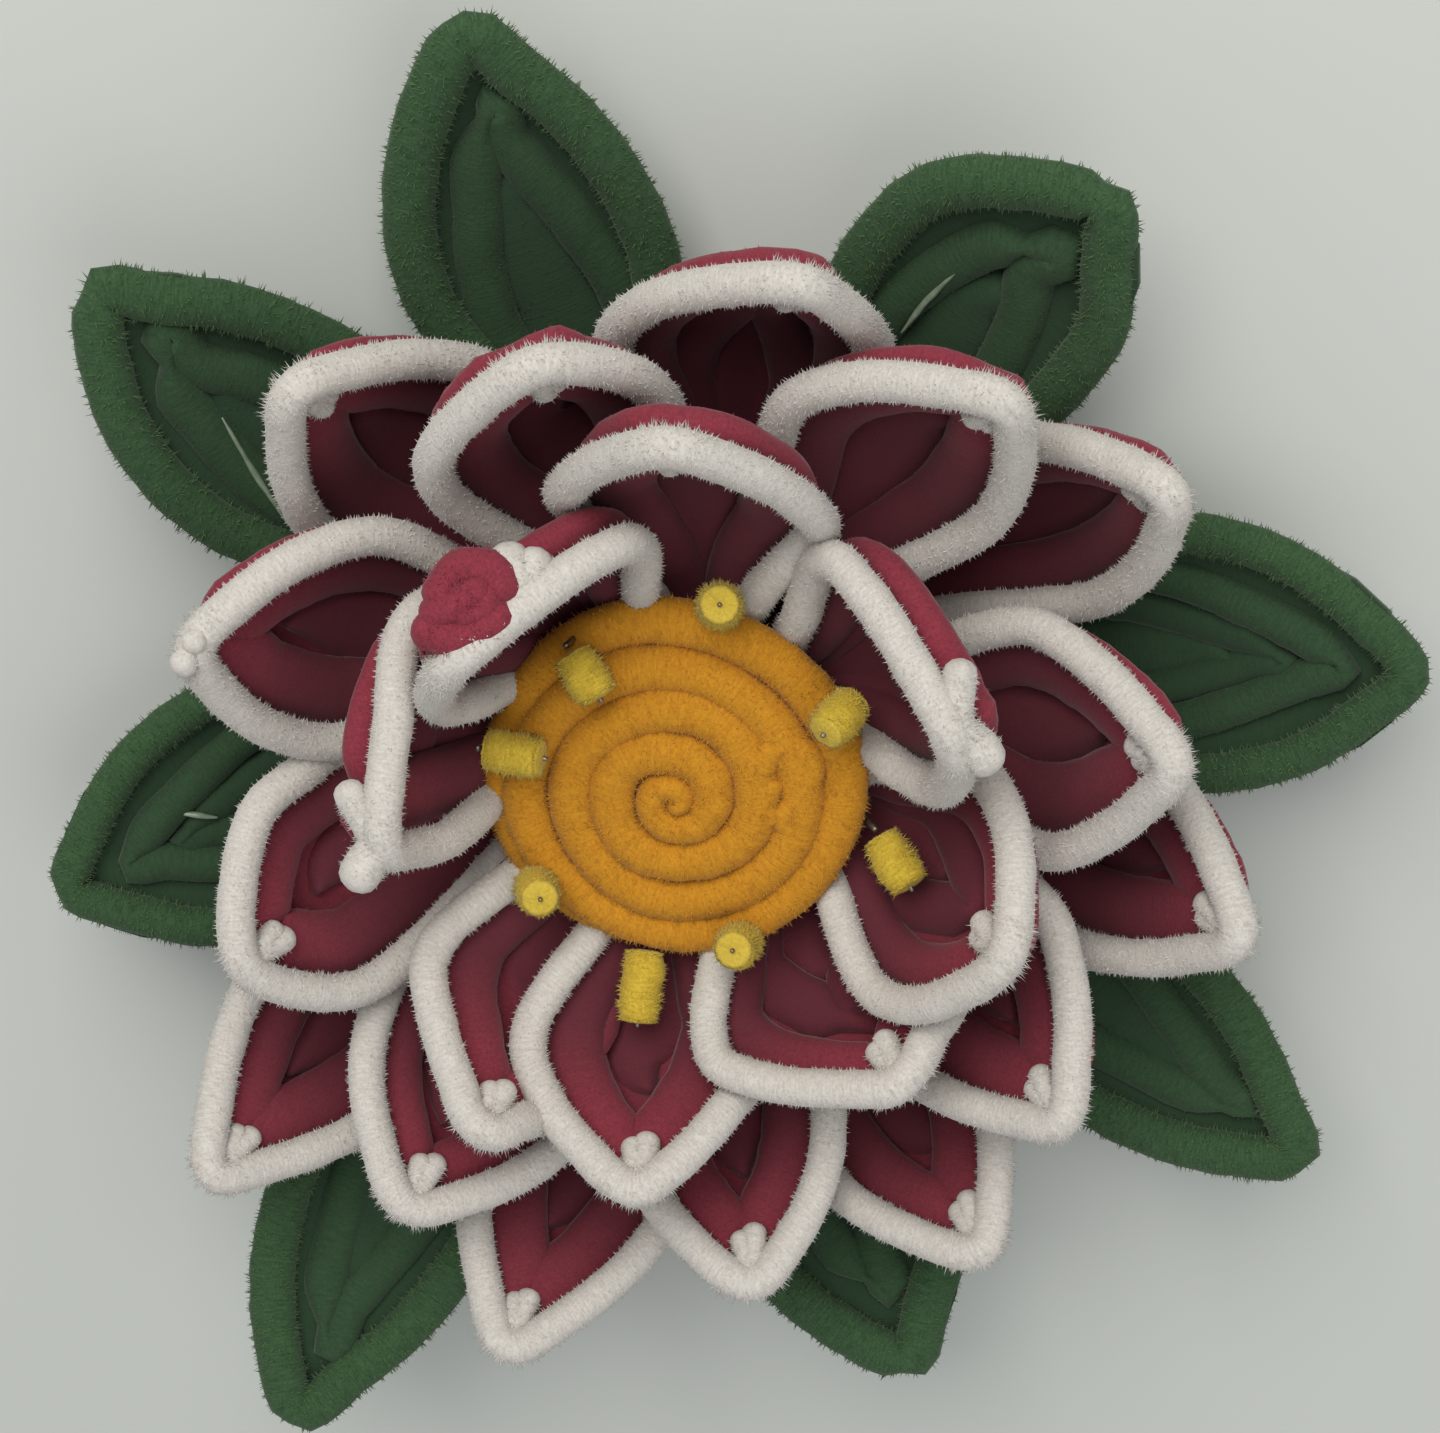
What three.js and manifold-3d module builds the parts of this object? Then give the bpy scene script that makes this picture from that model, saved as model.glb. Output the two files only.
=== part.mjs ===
// Chenille stem flower: a coiled centre with stamens, three rings of cupped petals and a ring of leaves.
// Millimetres, +Z up. The flower lies on its back, with the middle of its underside at the origin.
import * as THREE from 'three';
import { mergeVertices } from 'three/addons/utils/BufferGeometryUtils.js';
import Module from 'manifold-3d';

const wasm = await Module();
wasm.setup();

// Driving dimensions: the stem and the room that neighbours leave each other
const stemRadius = 2.9;          // pile and wire of one white stem
const wireRadius = 0.45;         // trimmed stem, bare wire
const gap = 0.35;                // clearance between pieces that press on each other
const finestDetail = 0.2;        // shorter edges than this are taken out after a cut
const weldDistance = 1e-4;       // corners of one body nearer than this are one corner

// Hub: the tails of all the stems, twisted together and cut flat underneath
const hubRadius = 6.8;
const hubHeight = 24.8;
const hubLobes = 8;
const hubLobeDepth = 0.45;
const hubTwist = 75;             // degrees over its height
const hubSteps = 4;

// Coiled centre
const coilRadius = 26;           // outside radius at the outer end
const coilTurns = 3.7;
const coilStemWidth = 5.5;       // the turns are pressed flat against each other
const coilEnd = 100;             // degrees round the axis at which the outer end lies
const coilOffset = 1.4;          // how far the spiral starts off the axis, along -X and along -Y
const coilStemHeight = 6;
const coilFloor = 30.4;          // underside of the outermost turn
const coilDome = 2.6;            // how far the middle stands above the edge
const coilStepsPerTurn = 14;
const coilSides = 6;

// Petals: a white rim stem glued along the edge of a crimson bowl
const rimStations = [0.25, 0.38, 0.52, 0.66, 0.8, 0.92];  // shares of the length, from its bare root
const rimSteps = 13;
const rimSides = 6;
const nubRadius = 2.3;
const nubInward = [-6.5, -0.8];  // end of a nub that lies on the bowl: past the tip, above the rim stem
const nubOutward = [4.5, 1.5];   // end of a nub that stands out
const bowlWall = 4.4;
const bowlDrop = 5;              // middle of the bowl's edge below the middle of the rim stem
const bowlFlare = -0.2;          // how far the bowl's edge reaches past the middle line of the rim stem
const bowlRidge = 0.55;          // height of the strands that the bowl is wound from
const bowlStrands = 3;
const bowlStations = [0, 0.18, 0.4, 0.62, 0.82, 0.97];
const dropEnd = 0.2;             // share of the length at which the bowl has its full drop
const cupSkew = 1.3;             // above 1, the deepest place of a bowl lies nearer to its tip
const rosetteRadius = 6.2;       // end of a bowl's stems, curled up behind the tip of one petal
const rosetteHeight = 5;
const rosetteSides = 10;
const rosettePlace = [2.5, 2.5, -3.5];  // past the tip, to the left, above the rim stem

// Leaves: green loops nested in each other
const leafWall = 4.6;
const leafRidge = 0.7;
const leafStrands = 3;
const leafStations = [0, 0.18, 0.4, 0.62, 0.84, 0.985];

// Stamens: short lemon tufts on bare wire, two to a stem that passes under the coil
const tuftRadius = 3.3;
const tuftSides = 8;
const wireSides = 4;
const wireSteps = 12;
const wireSpace = 0.3;           // room between two stamen wires that cross under the coil
const stamenBend = 20.6;         // distance from the axis at which a stamen wire turns up

// Width along a petal or leaf: share of its length, share of its half width. It is widest at the last
// of these, and each petal's own blunt value holds further up
const widthStations = [[0, 0.13], [0.2, 0.3], [0.4, 0.62], [0.64, 1]];
const bluntAt = 0.87;

// Rings of petals and leaves: roots at regular steps of a turn, at one height
const rootStep = 45;
const rings = {
  inner: { phase: 36, rootRadius: 7.5, rootHeight: 23, bow: 4.5, cup: 3.5 },
  middle: { phase: 13.5, rootRadius: 7.5, rootHeight: 17, bow: 5.5, cup: 4 },
  outer: { phase: 36, rootRadius: 7.5, rootHeight: 9.4, bow: 10, cup: 4 },
  leaf: { phase: 13.5, rootRadius: 7.5, rootHeight: 2.8, bow: 3, cup: 3.5 },
};

// One entry a petal. place: which step of the ring; swing: degrees that the tip is bent round from the
// root; reach and rise: where the tip is; left and right: half widths, seen from the axis; roll: degrees,
// left edge up; blunt: width close to the tip; nub: where the twisted end points; rosette: the bowl's stems
// end in a curl behind the tip
const innerPetals = [
  { place: 7, swing: -9, reach: 44, rise: 54, left: 15, right: 17, roll: -8, blunt: 0.68, nub: 'in' },
  { place: 6, swing: 5, reach: 45, rise: 51.5, left: 15, right: 20, roll: -20, blunt: 0.56, nub: 'in' },
  { place: 5, swing: 4, reach: 49, rise: 57, left: 12, right: 17, roll: 0, blunt: 0.62, nub: 'in' },
  { place: 4, swing: 24, reach: 48, rise: 57, left: 12, right: 15.5, roll: -3, blunt: 0.5, nub: 'in' },
  { place: 0, swing: -10, reach: 38.5, rise: 57, left: 22, right: 11, roll: 0, blunt: 0.6, nub: 'out' },
  { place: 2, swing: 9, reach: 35, rise: 58, left: 12, right: 21, roll: -3, blunt: 0.65, nub: 'out',
    rosette: true },
  { place: 3, swing: 11, reach: 35, rise: 56, left: 5.5, right: 23.5, roll: 0, blunt: 0.63, nub: 'out' },
  { place: 1, swing: 8, reach: 52, rise: 56, left: 15, right: 15.5, roll: -4, blunt: 0.6, nub: 'in' },
];
const middlePetals = [
  { place: 0, swing: -3, reach: 62, rise: 48.5, left: 14, right: 16.5, roll: -7, blunt: 0.55, nub: 'in' },
  { place: 1, swing: -3, reach: 68.5, rise: 49.5, left: 17.5, right: 11, roll: 4, blunt: 0.62, nub: 'in' },
  { place: 2, swing: 1, reach: 61, rise: 49.5, left: 18, right: 11, roll: 10, blunt: 0.8, nub: 'in' },
  { place: 3, swing: 11, reach: 62.5, rise: 50, left: 14.5, right: 15.5, roll: 3, blunt: 0.65, nub: 'out' },
  { place: 4, swing: 8, reach: 59.5, rise: 51, left: 12.5, right: 16, roll: 0, blunt: 0.9, nub: 'in' },
  { place: 5, swing: 0, reach: 69, rise: 49.5, left: 16, right: 16.5, roll: -4, blunt: 0.7, nub: 'in' },
  { place: 6, swing: -5, reach: 69, rise: 49, left: 12, right: 15, roll: -6, blunt: 0.73, nub: 'in' },
  { place: 7, swing: -7, reach: 64, rise: 49, left: 15.5, right: 15.5, roll: 0, blunt: 0.59, nub: 'in' },
];
const outerPetals = [
  { place: 0, swing: 1, reach: 73, rise: 42.5, left: 11.5, right: 13, roll: -2, blunt: 0.63, nub: 'in' },
  { place: 1, swing: -3, reach: 69.5, rise: 43.5, left: 20, right: 13, roll: 6, blunt: 0.67, nub: 'in' },
  { place: 2, swing: 5, reach: 70, rise: 42.5, left: 17, right: 14, roll: 9, blunt: 0.6, nub: 'in' },
  { place: 4, swing: 6, reach: 84.5, rise: 48, left: 15, right: 15, roll: 0, blunt: 0.62, nub: 'in' },
  { place: 5, swing: -7, reach: 84.5, rise: 49, left: 17, right: 13.5, roll: 3, blunt: 0.65, nub: 'in' },
  { place: 6, swing: -4, reach: 76.5, rise: 43, left: 9.5, right: 18, roll: -7, blunt: 0.72, nub: 'in' },
  { place: 7, swing: -3, reach: 72.5, rise: 43, left: 14.5, right: 16, roll: -3, blunt: 0.6, nub: 'in' },
];
const leaves = [
  { place: 0, swing: -5, reach: 96.5, rise: 25, left: 20.5, right: 18.5, roll: -4, blunt: 0.68 },
  { place: 1, swing: -2.5, reach: 93, rise: 30, left: 21.5, right: 13, roll: -6, blunt: 0.85 },
  { place: 2, swing: 3, reach: 99.5, rise: 24, left: 21, right: 14.5, roll: 5, blunt: 0.62 },
  { place: 3, swing: -7, reach: 99, rise: 27, left: 22, right: 12.5, roll: 12, blunt: 0.68 },
  { place: 4, swing: 4, reach: 96, rise: 25, left: 18.5, right: 21, roll: 5, blunt: 0.67 },
  { place: 5, swing: 3, reach: 122, rise: 41, left: 14, right: 20.5, roll: -2, blunt: 0.7 },
  { place: 6, swing: 5, reach: 102.5, rise: 32, left: 14.5, right: 21, roll: -3, blunt: 0.76 },
  { place: 7, swing: -3, reach: 105, rise: 29, left: 14, right: 19, roll: -3, blunt: 0.66 },
];

// Stamens in pairs, both on one stem. turn: degrees round the axis; reach and height: foot of the tuft;
// lean: degrees outward from upright; veer: degrees that the tuft points off from straight outward
const stamenPairs = [
  [
    { turn: 79, reach: 24, height: 34.5, lean: 25, veer: 0, length: 9 },
    { turn: 258, reach: 25.5, height: 34.5, lean: 62, veer: 8, length: 11 },
  ],
  [
    { turn: 127, reach: 24, height: 38.5, lean: -72, veer: 0, length: 8 },
    { turn: 289, reach: 24.8, height: 35, lean: -20, veer: 0, length: 9 },
  ],
  [
    { turn: 170, reach: 26.5, height: 39, lean: -80, veer: 8, length: 9 },
    { turn: 345, reach: 25.5, height: 34.5, lean: 60, veer: -35, length: 9 },
  ],
  [
    { turn: 219, reach: 26, height: 35, lean: -20, veer: 0, length: 9 },
    { turn: 31, reach: 26, height: 37.5, lean: -35, veer: 0, length: 8 },
  ],
];

// Materials
const materials = {
  rim: new THREE.MeshStandardMaterial({ color: 0xe4e1d8, roughness: 0.95, metalness: 0 }),
  bowl: new THREE.MeshStandardMaterial({ color: 0x9c2440, roughness: 0.95, metalness: 0 }),
  leaf: new THREE.MeshStandardMaterial({ color: 0x2f5a34, roughness: 0.95, metalness: 0 }),
  centre: new THREE.MeshStandardMaterial({ color: 0xc98a1c, roughness: 0.95, metalness: 0 }),
  stamen: new THREE.MeshStandardMaterial({ color: 0xe2c52c, roughness: 0.95, metalness: 0 }),
  hub: new THREE.MeshStandardMaterial({ color: 0x4a5a3c, roughness: 0.8, metalness: 0.2 }),
};

// Solids and meshes

function toSolid(geometry) {
  const bare = geometry.clone();
  bare.deleteAttribute('normal');
  bare.deleteAttribute('uv');
  const merged = mergeVertices(bare, weldDistance);
  const mesh = new wasm.Mesh({
    numProp: 3,
    vertProperties: new Float32Array(merged.attributes.position.array),
    triVerts: new Uint32Array(merged.index.array),
  });
  return new wasm.Manifold(mesh);
}

function toGeometry(solid) {
  const mesh = solid.getMesh();
  const geometry = new THREE.BufferGeometry();
  geometry.setAttribute('position', new THREE.BufferAttribute(Float32Array.from(mesh.vertProperties), 3));
  geometry.setIndex(new THREE.BufferAttribute(Uint32Array.from(mesh.triVerts), 1));
  geometry.computeVertexNormals();
  return geometry;
}

function largestPart(solid) {
  const parts = solid.decompose();
  parts.sort((a, b) => b.volume() - a.volume());
  return parts[0];
}

// A closed body through a row of sections that all have the same number of points. The sections run
// anticlockwise seen from the far end, and the two end sections are filled in by their flat outlines
function loft(sections, flatten) {
  const count = sections[0].length;
  const positions = [];
  const indices = [];
  for (const section of sections) {
    for (const point of section) {
      positions.push(point.x, point.y, point.z);
    }
  }
  for (let i = 0; i + 1 < sections.length; i += 1) {
    for (let j = 0; j < count; j += 1) {
      const a = i * count + j;
      const b = i * count + (j + 1) % count;
      indices.push(a, b, b + count);
      indices.push(a, b + count, a + count);
    }
  }
  const last = (sections.length - 1) * count;
  const startFaces = THREE.ShapeUtils.triangulateShape(flatten[0], []);
  const endFaces = THREE.ShapeUtils.triangulateShape(flatten[1], []);
  const turned = THREE.ShapeUtils.isClockWise(flatten[0]);
  for (const [p, q, r] of startFaces) {
    indices.push(...(turned ? [p, q, r] : [r, q, p]));
  }
  for (const [p, q, r] of endFaces) {
    indices.push(...(turned ? [last + r, last + q, last + p] : [last + p, last + q, last + r]));
  }
  const geometry = new THREE.BufferGeometry();
  geometry.setAttribute('position', new THREE.Float32BufferAttribute(positions, 3));
  geometry.setIndex(indices);
  return geometry;
}

function roundShape(radius, sides) {
  const points = [];
  for (let i = 0; i < sides; i += 1) {
    const angle = (i / sides) * Math.PI * 2;
    points.push(new THREE.Vector2(radius * Math.cos(angle), radius * Math.sin(angle)));
  }
  return new THREE.Shape(points);
}

function tube(curve, radius, sides, steps) {
  return new THREE.ExtrudeGeometry(roundShape(radius, sides), { steps, extrudePath: curve });
}

function rod(from, to, radius, sides) {
  return tube(new THREE.LineCurve3(from, to), radius, sides, 1);
}

// Petal and leaf form

function around(degrees, radius, height) {
  const angle = THREE.MathUtils.degToRad(degrees);
  return new THREE.Vector3(radius * Math.cos(angle), radius * Math.sin(angle), height);
}

// A smooth curve through stations: each has its place along the length and the value there
function throughStations(stations, t) {
  let i = 0;
  while (i < stations.length - 2 && t > stations[i + 1][0]) {
    i += 1;
  }
  const slopeAt = (k) => {
    const before = stations[Math.max(k - 1, 0)];
    const after = stations[Math.min(k + 1, stations.length - 1)];
    return (after[1] - before[1]) / (after[0] - before[0]);
  };
  const [t0, y0] = stations[i];
  const [t1, y1] = stations[i + 1];
  const span = t1 - t0;
  const u = (t - t0) / span;
  const u2 = u * u;
  const u3 = u2 * u;
  return (2 * u3 - 3 * u2 + 1) * y0 + (u3 - 2 * u2 + u) * span * slopeAt(i)
    + (3 * u2 - 2 * u3) * y1 + (u3 - u2) * span * slopeAt(i + 1);
}

// Share of the full half width at a share t of the length
function widthShare(t, blunt) {
  return throughStations([...widthStations, [bluntAt, blunt], [1, 0]], t);
}

// The frame of a petal: its root, the way to its tip, its left side and the side that faces the axis
function frameOf(ring, petal) {
  const turn = ring.phase + rootStep * petal.place;
  const root = around(turn, ring.rootRadius, ring.rootHeight);
  const tip = around(turn + petal.swing, petal.reach, petal.rise);
  const along = tip.clone().sub(root);
  const length = along.length();
  along.normalize();
  const side = new THREE.Vector3(0, 0, 1).cross(along).normalize();
  const face = along.clone().cross(side);
  const roll = THREE.MathUtils.degToRad(petal.roll);
  const left = side.clone().multiplyScalar(Math.cos(roll)).addScaledVector(face, Math.sin(roll));
  const front = face.multiplyScalar(Math.cos(roll)).addScaledVector(side, -Math.sin(roll));
  const at = (t, across, height) => root.clone()
    .addScaledVector(along, t * length)
    .addScaledVector(left, across)
    .addScaledVector(front, height - ring.bow * 4 * t * (1 - t));
  return { at, along, left, front, length };
}

// The rim stem runs up one side, round the tip and down the other, and its twisted end is a short nub
function rimOf(ring, petal, grow) {
  const frame = frameOf(ring, petal);
  const points = [];
  for (const t of rimStations) {
    points.push(frame.at(t, petal.left * widthShare(t, petal.blunt), 0));
  }
  points.push(frame.at(1, 0, 0));
  for (const t of rimStations.slice().reverse()) {
    points.push(frame.at(t, -petal.right * widthShare(t, petal.blunt), 0));
  }
  const curve = new THREE.CatmullRomCurve3(points, false, 'centripetal');
  const stem = toSolid(tube(curve, stemRadius + grow, rimSides, rimSteps));
  const [past, above] = petal.nub === 'in' ? nubInward : nubOutward;
  const nubEnd = frame.at(1 + past / frame.length, 0, above);
  const nub = toSolid(rod(frame.at(1, 0, 0), nubEnd, nubRadius + grow, rimSides));
  return stem.add(nub);
}

// Lines across a trough, from -1 on its left edge to 1 on its right: the crowns of its strands and the
// valleys between them, or a few lines for the plain form that presses on its neighbours
const pressLines = [-0.8, -0.4, 0, 0.4, 0.8];

function strandLines(strands) {
  const lines = [];
  for (let i = 1; i < strands * 2; i += 1) {
    lines.push(-1 + i / strands);
  }
  return lines;
}

// A section of a bowl: a shallow trough with a strand's ridge at a time along both faces
function troughSection(frame, petal, shape, t, grow) {
  const across = widthShare(t, petal.blunt);
  const middle = ((petal.left - petal.right) / 2) * across;
  const half = ((petal.left + petal.right) / 2) * across + shape.flare + grow;
  const depth = shape.cup * Math.sin(Math.PI * t ** cupSkew);
  const drop = shape.drop * THREE.MathUtils.smoothstep(t, 0, dropEnd);
  const wall = shape.wall / 2 + grow;
  const lines = grow ? pressLines : strandLines(shape.strands);
  const front = [];
  const back = [];
  for (const [i, v] of lines.entries()) {
    const valley = grow || i % 2 === 0 ? 0 : shape.ridge;
    const floor = -drop - depth * (1 - v * v);
    front.push([middle + half * v, floor + wall - valley]);
    back.push([middle + half * v, floor - wall + valley]);
  }
  const outline = [];
  outline.push([middle - half, -drop]);
  outline.push(...back);
  outline.push([middle + half, -drop]);
  outline.push(...front.reverse());
  return outline;
}

function troughOf(ring, petal, shape, grow) {
  const frame = frameOf(ring, petal);
  const stations = shape.stations;
  const sections = [];
  const flat = [];
  for (const t of stations) {
    const outline = troughSection(frame, petal, shape, t, grow);
    sections.push(outline.map(([s, n]) => frame.at(t, s, n)));
    flat.push(outline.map(([s, n]) => new THREE.Vector2(s, n)));
  }
  return toSolid(loft(sections, [flat[0], flat[flat.length - 1]]));
}

// A flat curl of stem that faces the way the petal does
function rosetteOf(ring, petal, grow) {
  const frame = frameOf(ring, petal);
  const [past, across, above] = rosettePlace;
  const t = 1 + past / frame.length;
  const half = rosetteHeight / 2 + grow;
  return toSolid(rod(
    frame.at(t, across, above - half),
    frame.at(t, across, above + half),
    rosetteRadius + grow,
    rosetteSides,
  ));
}

function bowlOf(ring, petal, grow) {
  const shape = {
    wall: bowlWall, drop: bowlDrop, flare: bowlFlare, ridge: bowlRidge, strands: bowlStrands,
    cup: ring.cup, stations: bowlStations,
  };
  const bowl = troughOf(ring, petal, shape, grow);
  return petal.rosette ? bowl.add(rosetteOf(ring, petal, grow)) : bowl;
}

function leafOf(ring, petal, grow) {
  const shape = {
    wall: leafWall, drop: 0, flare: 0, ridge: leafRidge, strands: leafStrands,
    cup: ring.cup, stations: leafStations,
  };
  return troughOf(ring, petal, shape, grow);
}

// Centre, stamens and hub

function coilOf(grow) {
  const width = coilStemWidth / 2 - gap / 4 + grow;
  const height = coilStemHeight / 2 + grow;
  const outer = coilRadius - coilStemWidth / 2;
  const steps = Math.round(coilTurns * coilStepsPerTurn);
  const inner = outer - coilTurns * coilStemWidth;
  const sections = [];
  const flat = [];
  for (let i = 0; i <= steps; i += 1) {
    const angle = THREE.MathUtils.degToRad(coilEnd) - ((steps - i) / coilStepsPerTurn) * Math.PI * 2;
    const radius = inner + (outer - inner) * (i / steps);
    const rise = coilFloor + coilStemHeight / 2 + coilDome * (1 - (radius / outer) ** 2);
    const out = new THREE.Vector3(Math.cos(angle), Math.sin(angle), 0);
    const section = [];
    const outline = [];
    for (let j = 0; j < coilSides; j += 1) {
      const a = (j / coilSides) * Math.PI * 2;
      const x = width * Math.cos(a) / Math.cos(Math.PI / coilSides);
      const z = height * Math.sin(a);
      const point = out.clone().multiplyScalar(radius + Math.min(Math.max(x, -width), width));
      section.push(point.add(new THREE.Vector3(-coilOffset, -coilOffset, rise + z)));
      outline.push(new THREE.Vector2(x, z));
    }
    sections.push(section.reverse());
    flat.push(outline.reverse());
  }
  return toSolid(loft(sections, [flat[0], flat[steps]]));
}

function tuftLine(stamen) {
  const foot = around(stamen.turn, stamen.reach, stamen.height);
  const lean = THREE.MathUtils.degToRad(stamen.lean);
  const heading = around(stamen.turn + stamen.veer, Math.sin(lean), Math.cos(lean));
  return [foot, foot.clone().addScaledVector(heading, stamen.length)];
}

function stamenPairOf(pair, level, grow) {
  const height = hubHeight + gap + wireRadius + level * (2 * wireRadius + wireSpace);
  const [footA, tipA] = tuftLine(pair[0]);
  const [footB, tipB] = tuftLine(pair[1]);
  const points = [
    footA,
    around(pair[0].turn, stamenBend, height),
    new THREE.Vector3(0, 0, height),
    around(pair[1].turn, stamenBend, height),
    footB,
  ];
  const curve = new THREE.CatmullRomCurve3(points, false, 'centripetal');
  const wire = toSolid(tube(curve, wireRadius + grow, wireSides, wireSteps));
  const tuftA = toSolid(rod(footA, tipA, tuftRadius + grow, tuftSides));
  const tuftB = toSolid(rod(footB, tipB, tuftRadius + grow, tuftSides));
  return wire.add(tuftA).add(tuftB);
}

function hubOf(grow) {
  const sections = [];
  const flat = [];
  const points = hubLobes * 2;
  for (let i = 0; i <= hubSteps; i += 1) {
    const share = i / hubSteps;
    const twist = THREE.MathUtils.degToRad(hubTwist * share);
    const section = [];
    const outline = [];
    for (let j = 0; j < points; j += 1) {
      const angle = (j / points) * Math.PI * 2;
      const radius = hubRadius - (j % 2 ? hubLobeDepth : 0) + grow;
      section.push(new THREE.Vector3(
        radius * Math.cos(angle + twist),
        radius * Math.sin(angle + twist),
        share * (hubHeight + grow),
      ));
      outline.push(new THREE.Vector2(radius * Math.cos(angle), radius * Math.sin(angle)));
    }
    sections.push(section);
    flat.push(outline);
  }
  return toSolid(loft(sections, [flat[0], flat[hubSteps]]));
}

// Assembly. Pieces come in the order in which they keep their own shape: each is pressed in by those
// before it, and stays clear of them by the gap

const pieces = [];

function addPiece(name, material, make) {
  pieces.push({ name, material, solid: make(0), grown: make(gap) });
}

addPiece('wire_hub', 'hub', hubOf);
addPiece('flower_centre', 'centre', coilOf);
stamenPairs.forEach((pair, i) => {
  addPiece(`stamen_pair_${i + 1}`, 'stamen', (grow) => stamenPairOf(pair, i, grow));
});
const petalRings = [['inner', innerPetals], ['middle', middlePetals], ['outer', outerPetals]];
for (const [name, petals] of petalRings) {
  petals.forEach((petal) => {
    addPiece(`${name}_rim_${petal.place + 1}`, 'rim', (grow) => rimOf(rings[name], petal, grow));
  });
}
for (const [name, petals] of petalRings) {
  petals.forEach((petal) => {
    addPiece(`${name}_petal_${petal.place + 1}`, 'bowl', (grow) => bowlOf(rings[name], petal, grow));
  });
}
leaves.forEach((leaf) => {
  addPiece(`leaf_${leaf.place + 1}`, 'leaf', (grow) => leafOf(rings.leaf, leaf, grow));
});

function boxesTouch(a, b) {
  for (let i = 0; i < 3; i += 1) {
    if (a.max[i] < b.min[i] || b.max[i] < a.min[i]) {
      return false;
    }
  }
  return true;
}

const flower = new THREE.Group();
pieces.forEach((piece, index) => {
  const box = piece.solid.boundingBox();
  let pressed = piece.solid;
  for (const other of pieces.slice(0, index)) {
    if (boxesTouch(box, other.grown.boundingBox())) {
      pressed = pressed.subtract(other.grown);
    }
  }
  const solid = largestPart(pressed.simplify(finestDetail));
  const mesh = new THREE.Mesh(toGeometry(solid), materials[piece.material].clone());
  mesh.name = piece.name;
  flower.add(mesh);
});

export default flower;
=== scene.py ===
import math
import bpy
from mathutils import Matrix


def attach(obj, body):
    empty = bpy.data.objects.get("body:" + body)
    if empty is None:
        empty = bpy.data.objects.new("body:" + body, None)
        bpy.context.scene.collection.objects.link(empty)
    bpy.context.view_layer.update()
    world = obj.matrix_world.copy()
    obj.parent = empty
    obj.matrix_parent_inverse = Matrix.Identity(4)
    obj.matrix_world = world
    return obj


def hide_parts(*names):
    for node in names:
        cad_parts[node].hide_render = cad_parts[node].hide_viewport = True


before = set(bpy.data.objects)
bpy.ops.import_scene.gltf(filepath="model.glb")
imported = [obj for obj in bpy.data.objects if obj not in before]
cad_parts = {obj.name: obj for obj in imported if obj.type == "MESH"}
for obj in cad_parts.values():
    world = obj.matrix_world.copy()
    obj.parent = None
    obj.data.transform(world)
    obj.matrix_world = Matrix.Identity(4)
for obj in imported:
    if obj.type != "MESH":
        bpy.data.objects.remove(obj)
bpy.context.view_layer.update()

import zlib

import bpy
import numpy as np
from mathutils import Matrix, Vector

# The looks of a chenille stem flower: every piece is wound from stems, and every stem has a cut pile.
# Lengths are in millimetres until a mesh is made, where MM turns them into metres.
MM = 0.001

# Rings of petals and leaves. phase and height place the roots, bow and cup bend each petal, drop is how
# far a bowl lies behind its rim, and dark is the share of the length where painted shade starts on its
# front.
ROOT_STEP = 45.0
ROOT_RADIUS = 7.5
RINGS = {
    "inner": {"phase": 36.0, "height": 23.0, "bow": 4.5, "cup": 3.5, "drop": 3.5, "dark": 0.93},
    "middle": {"phase": 13.5, "height": 17.0, "bow": 5.5, "cup": 4.0, "drop": 3.1, "dark": 1.02},
    "outer": {"phase": 36.0, "height": 9.4, "bow": 10.0, "cup": 4.0, "drop": 2.8, "dark": 1.06},
    "leaf": {"phase": 13.5, "height": 2.8, "bow": 3.0, "cup": 3.5, "drop": 0.0, "dark": None},
}

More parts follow.
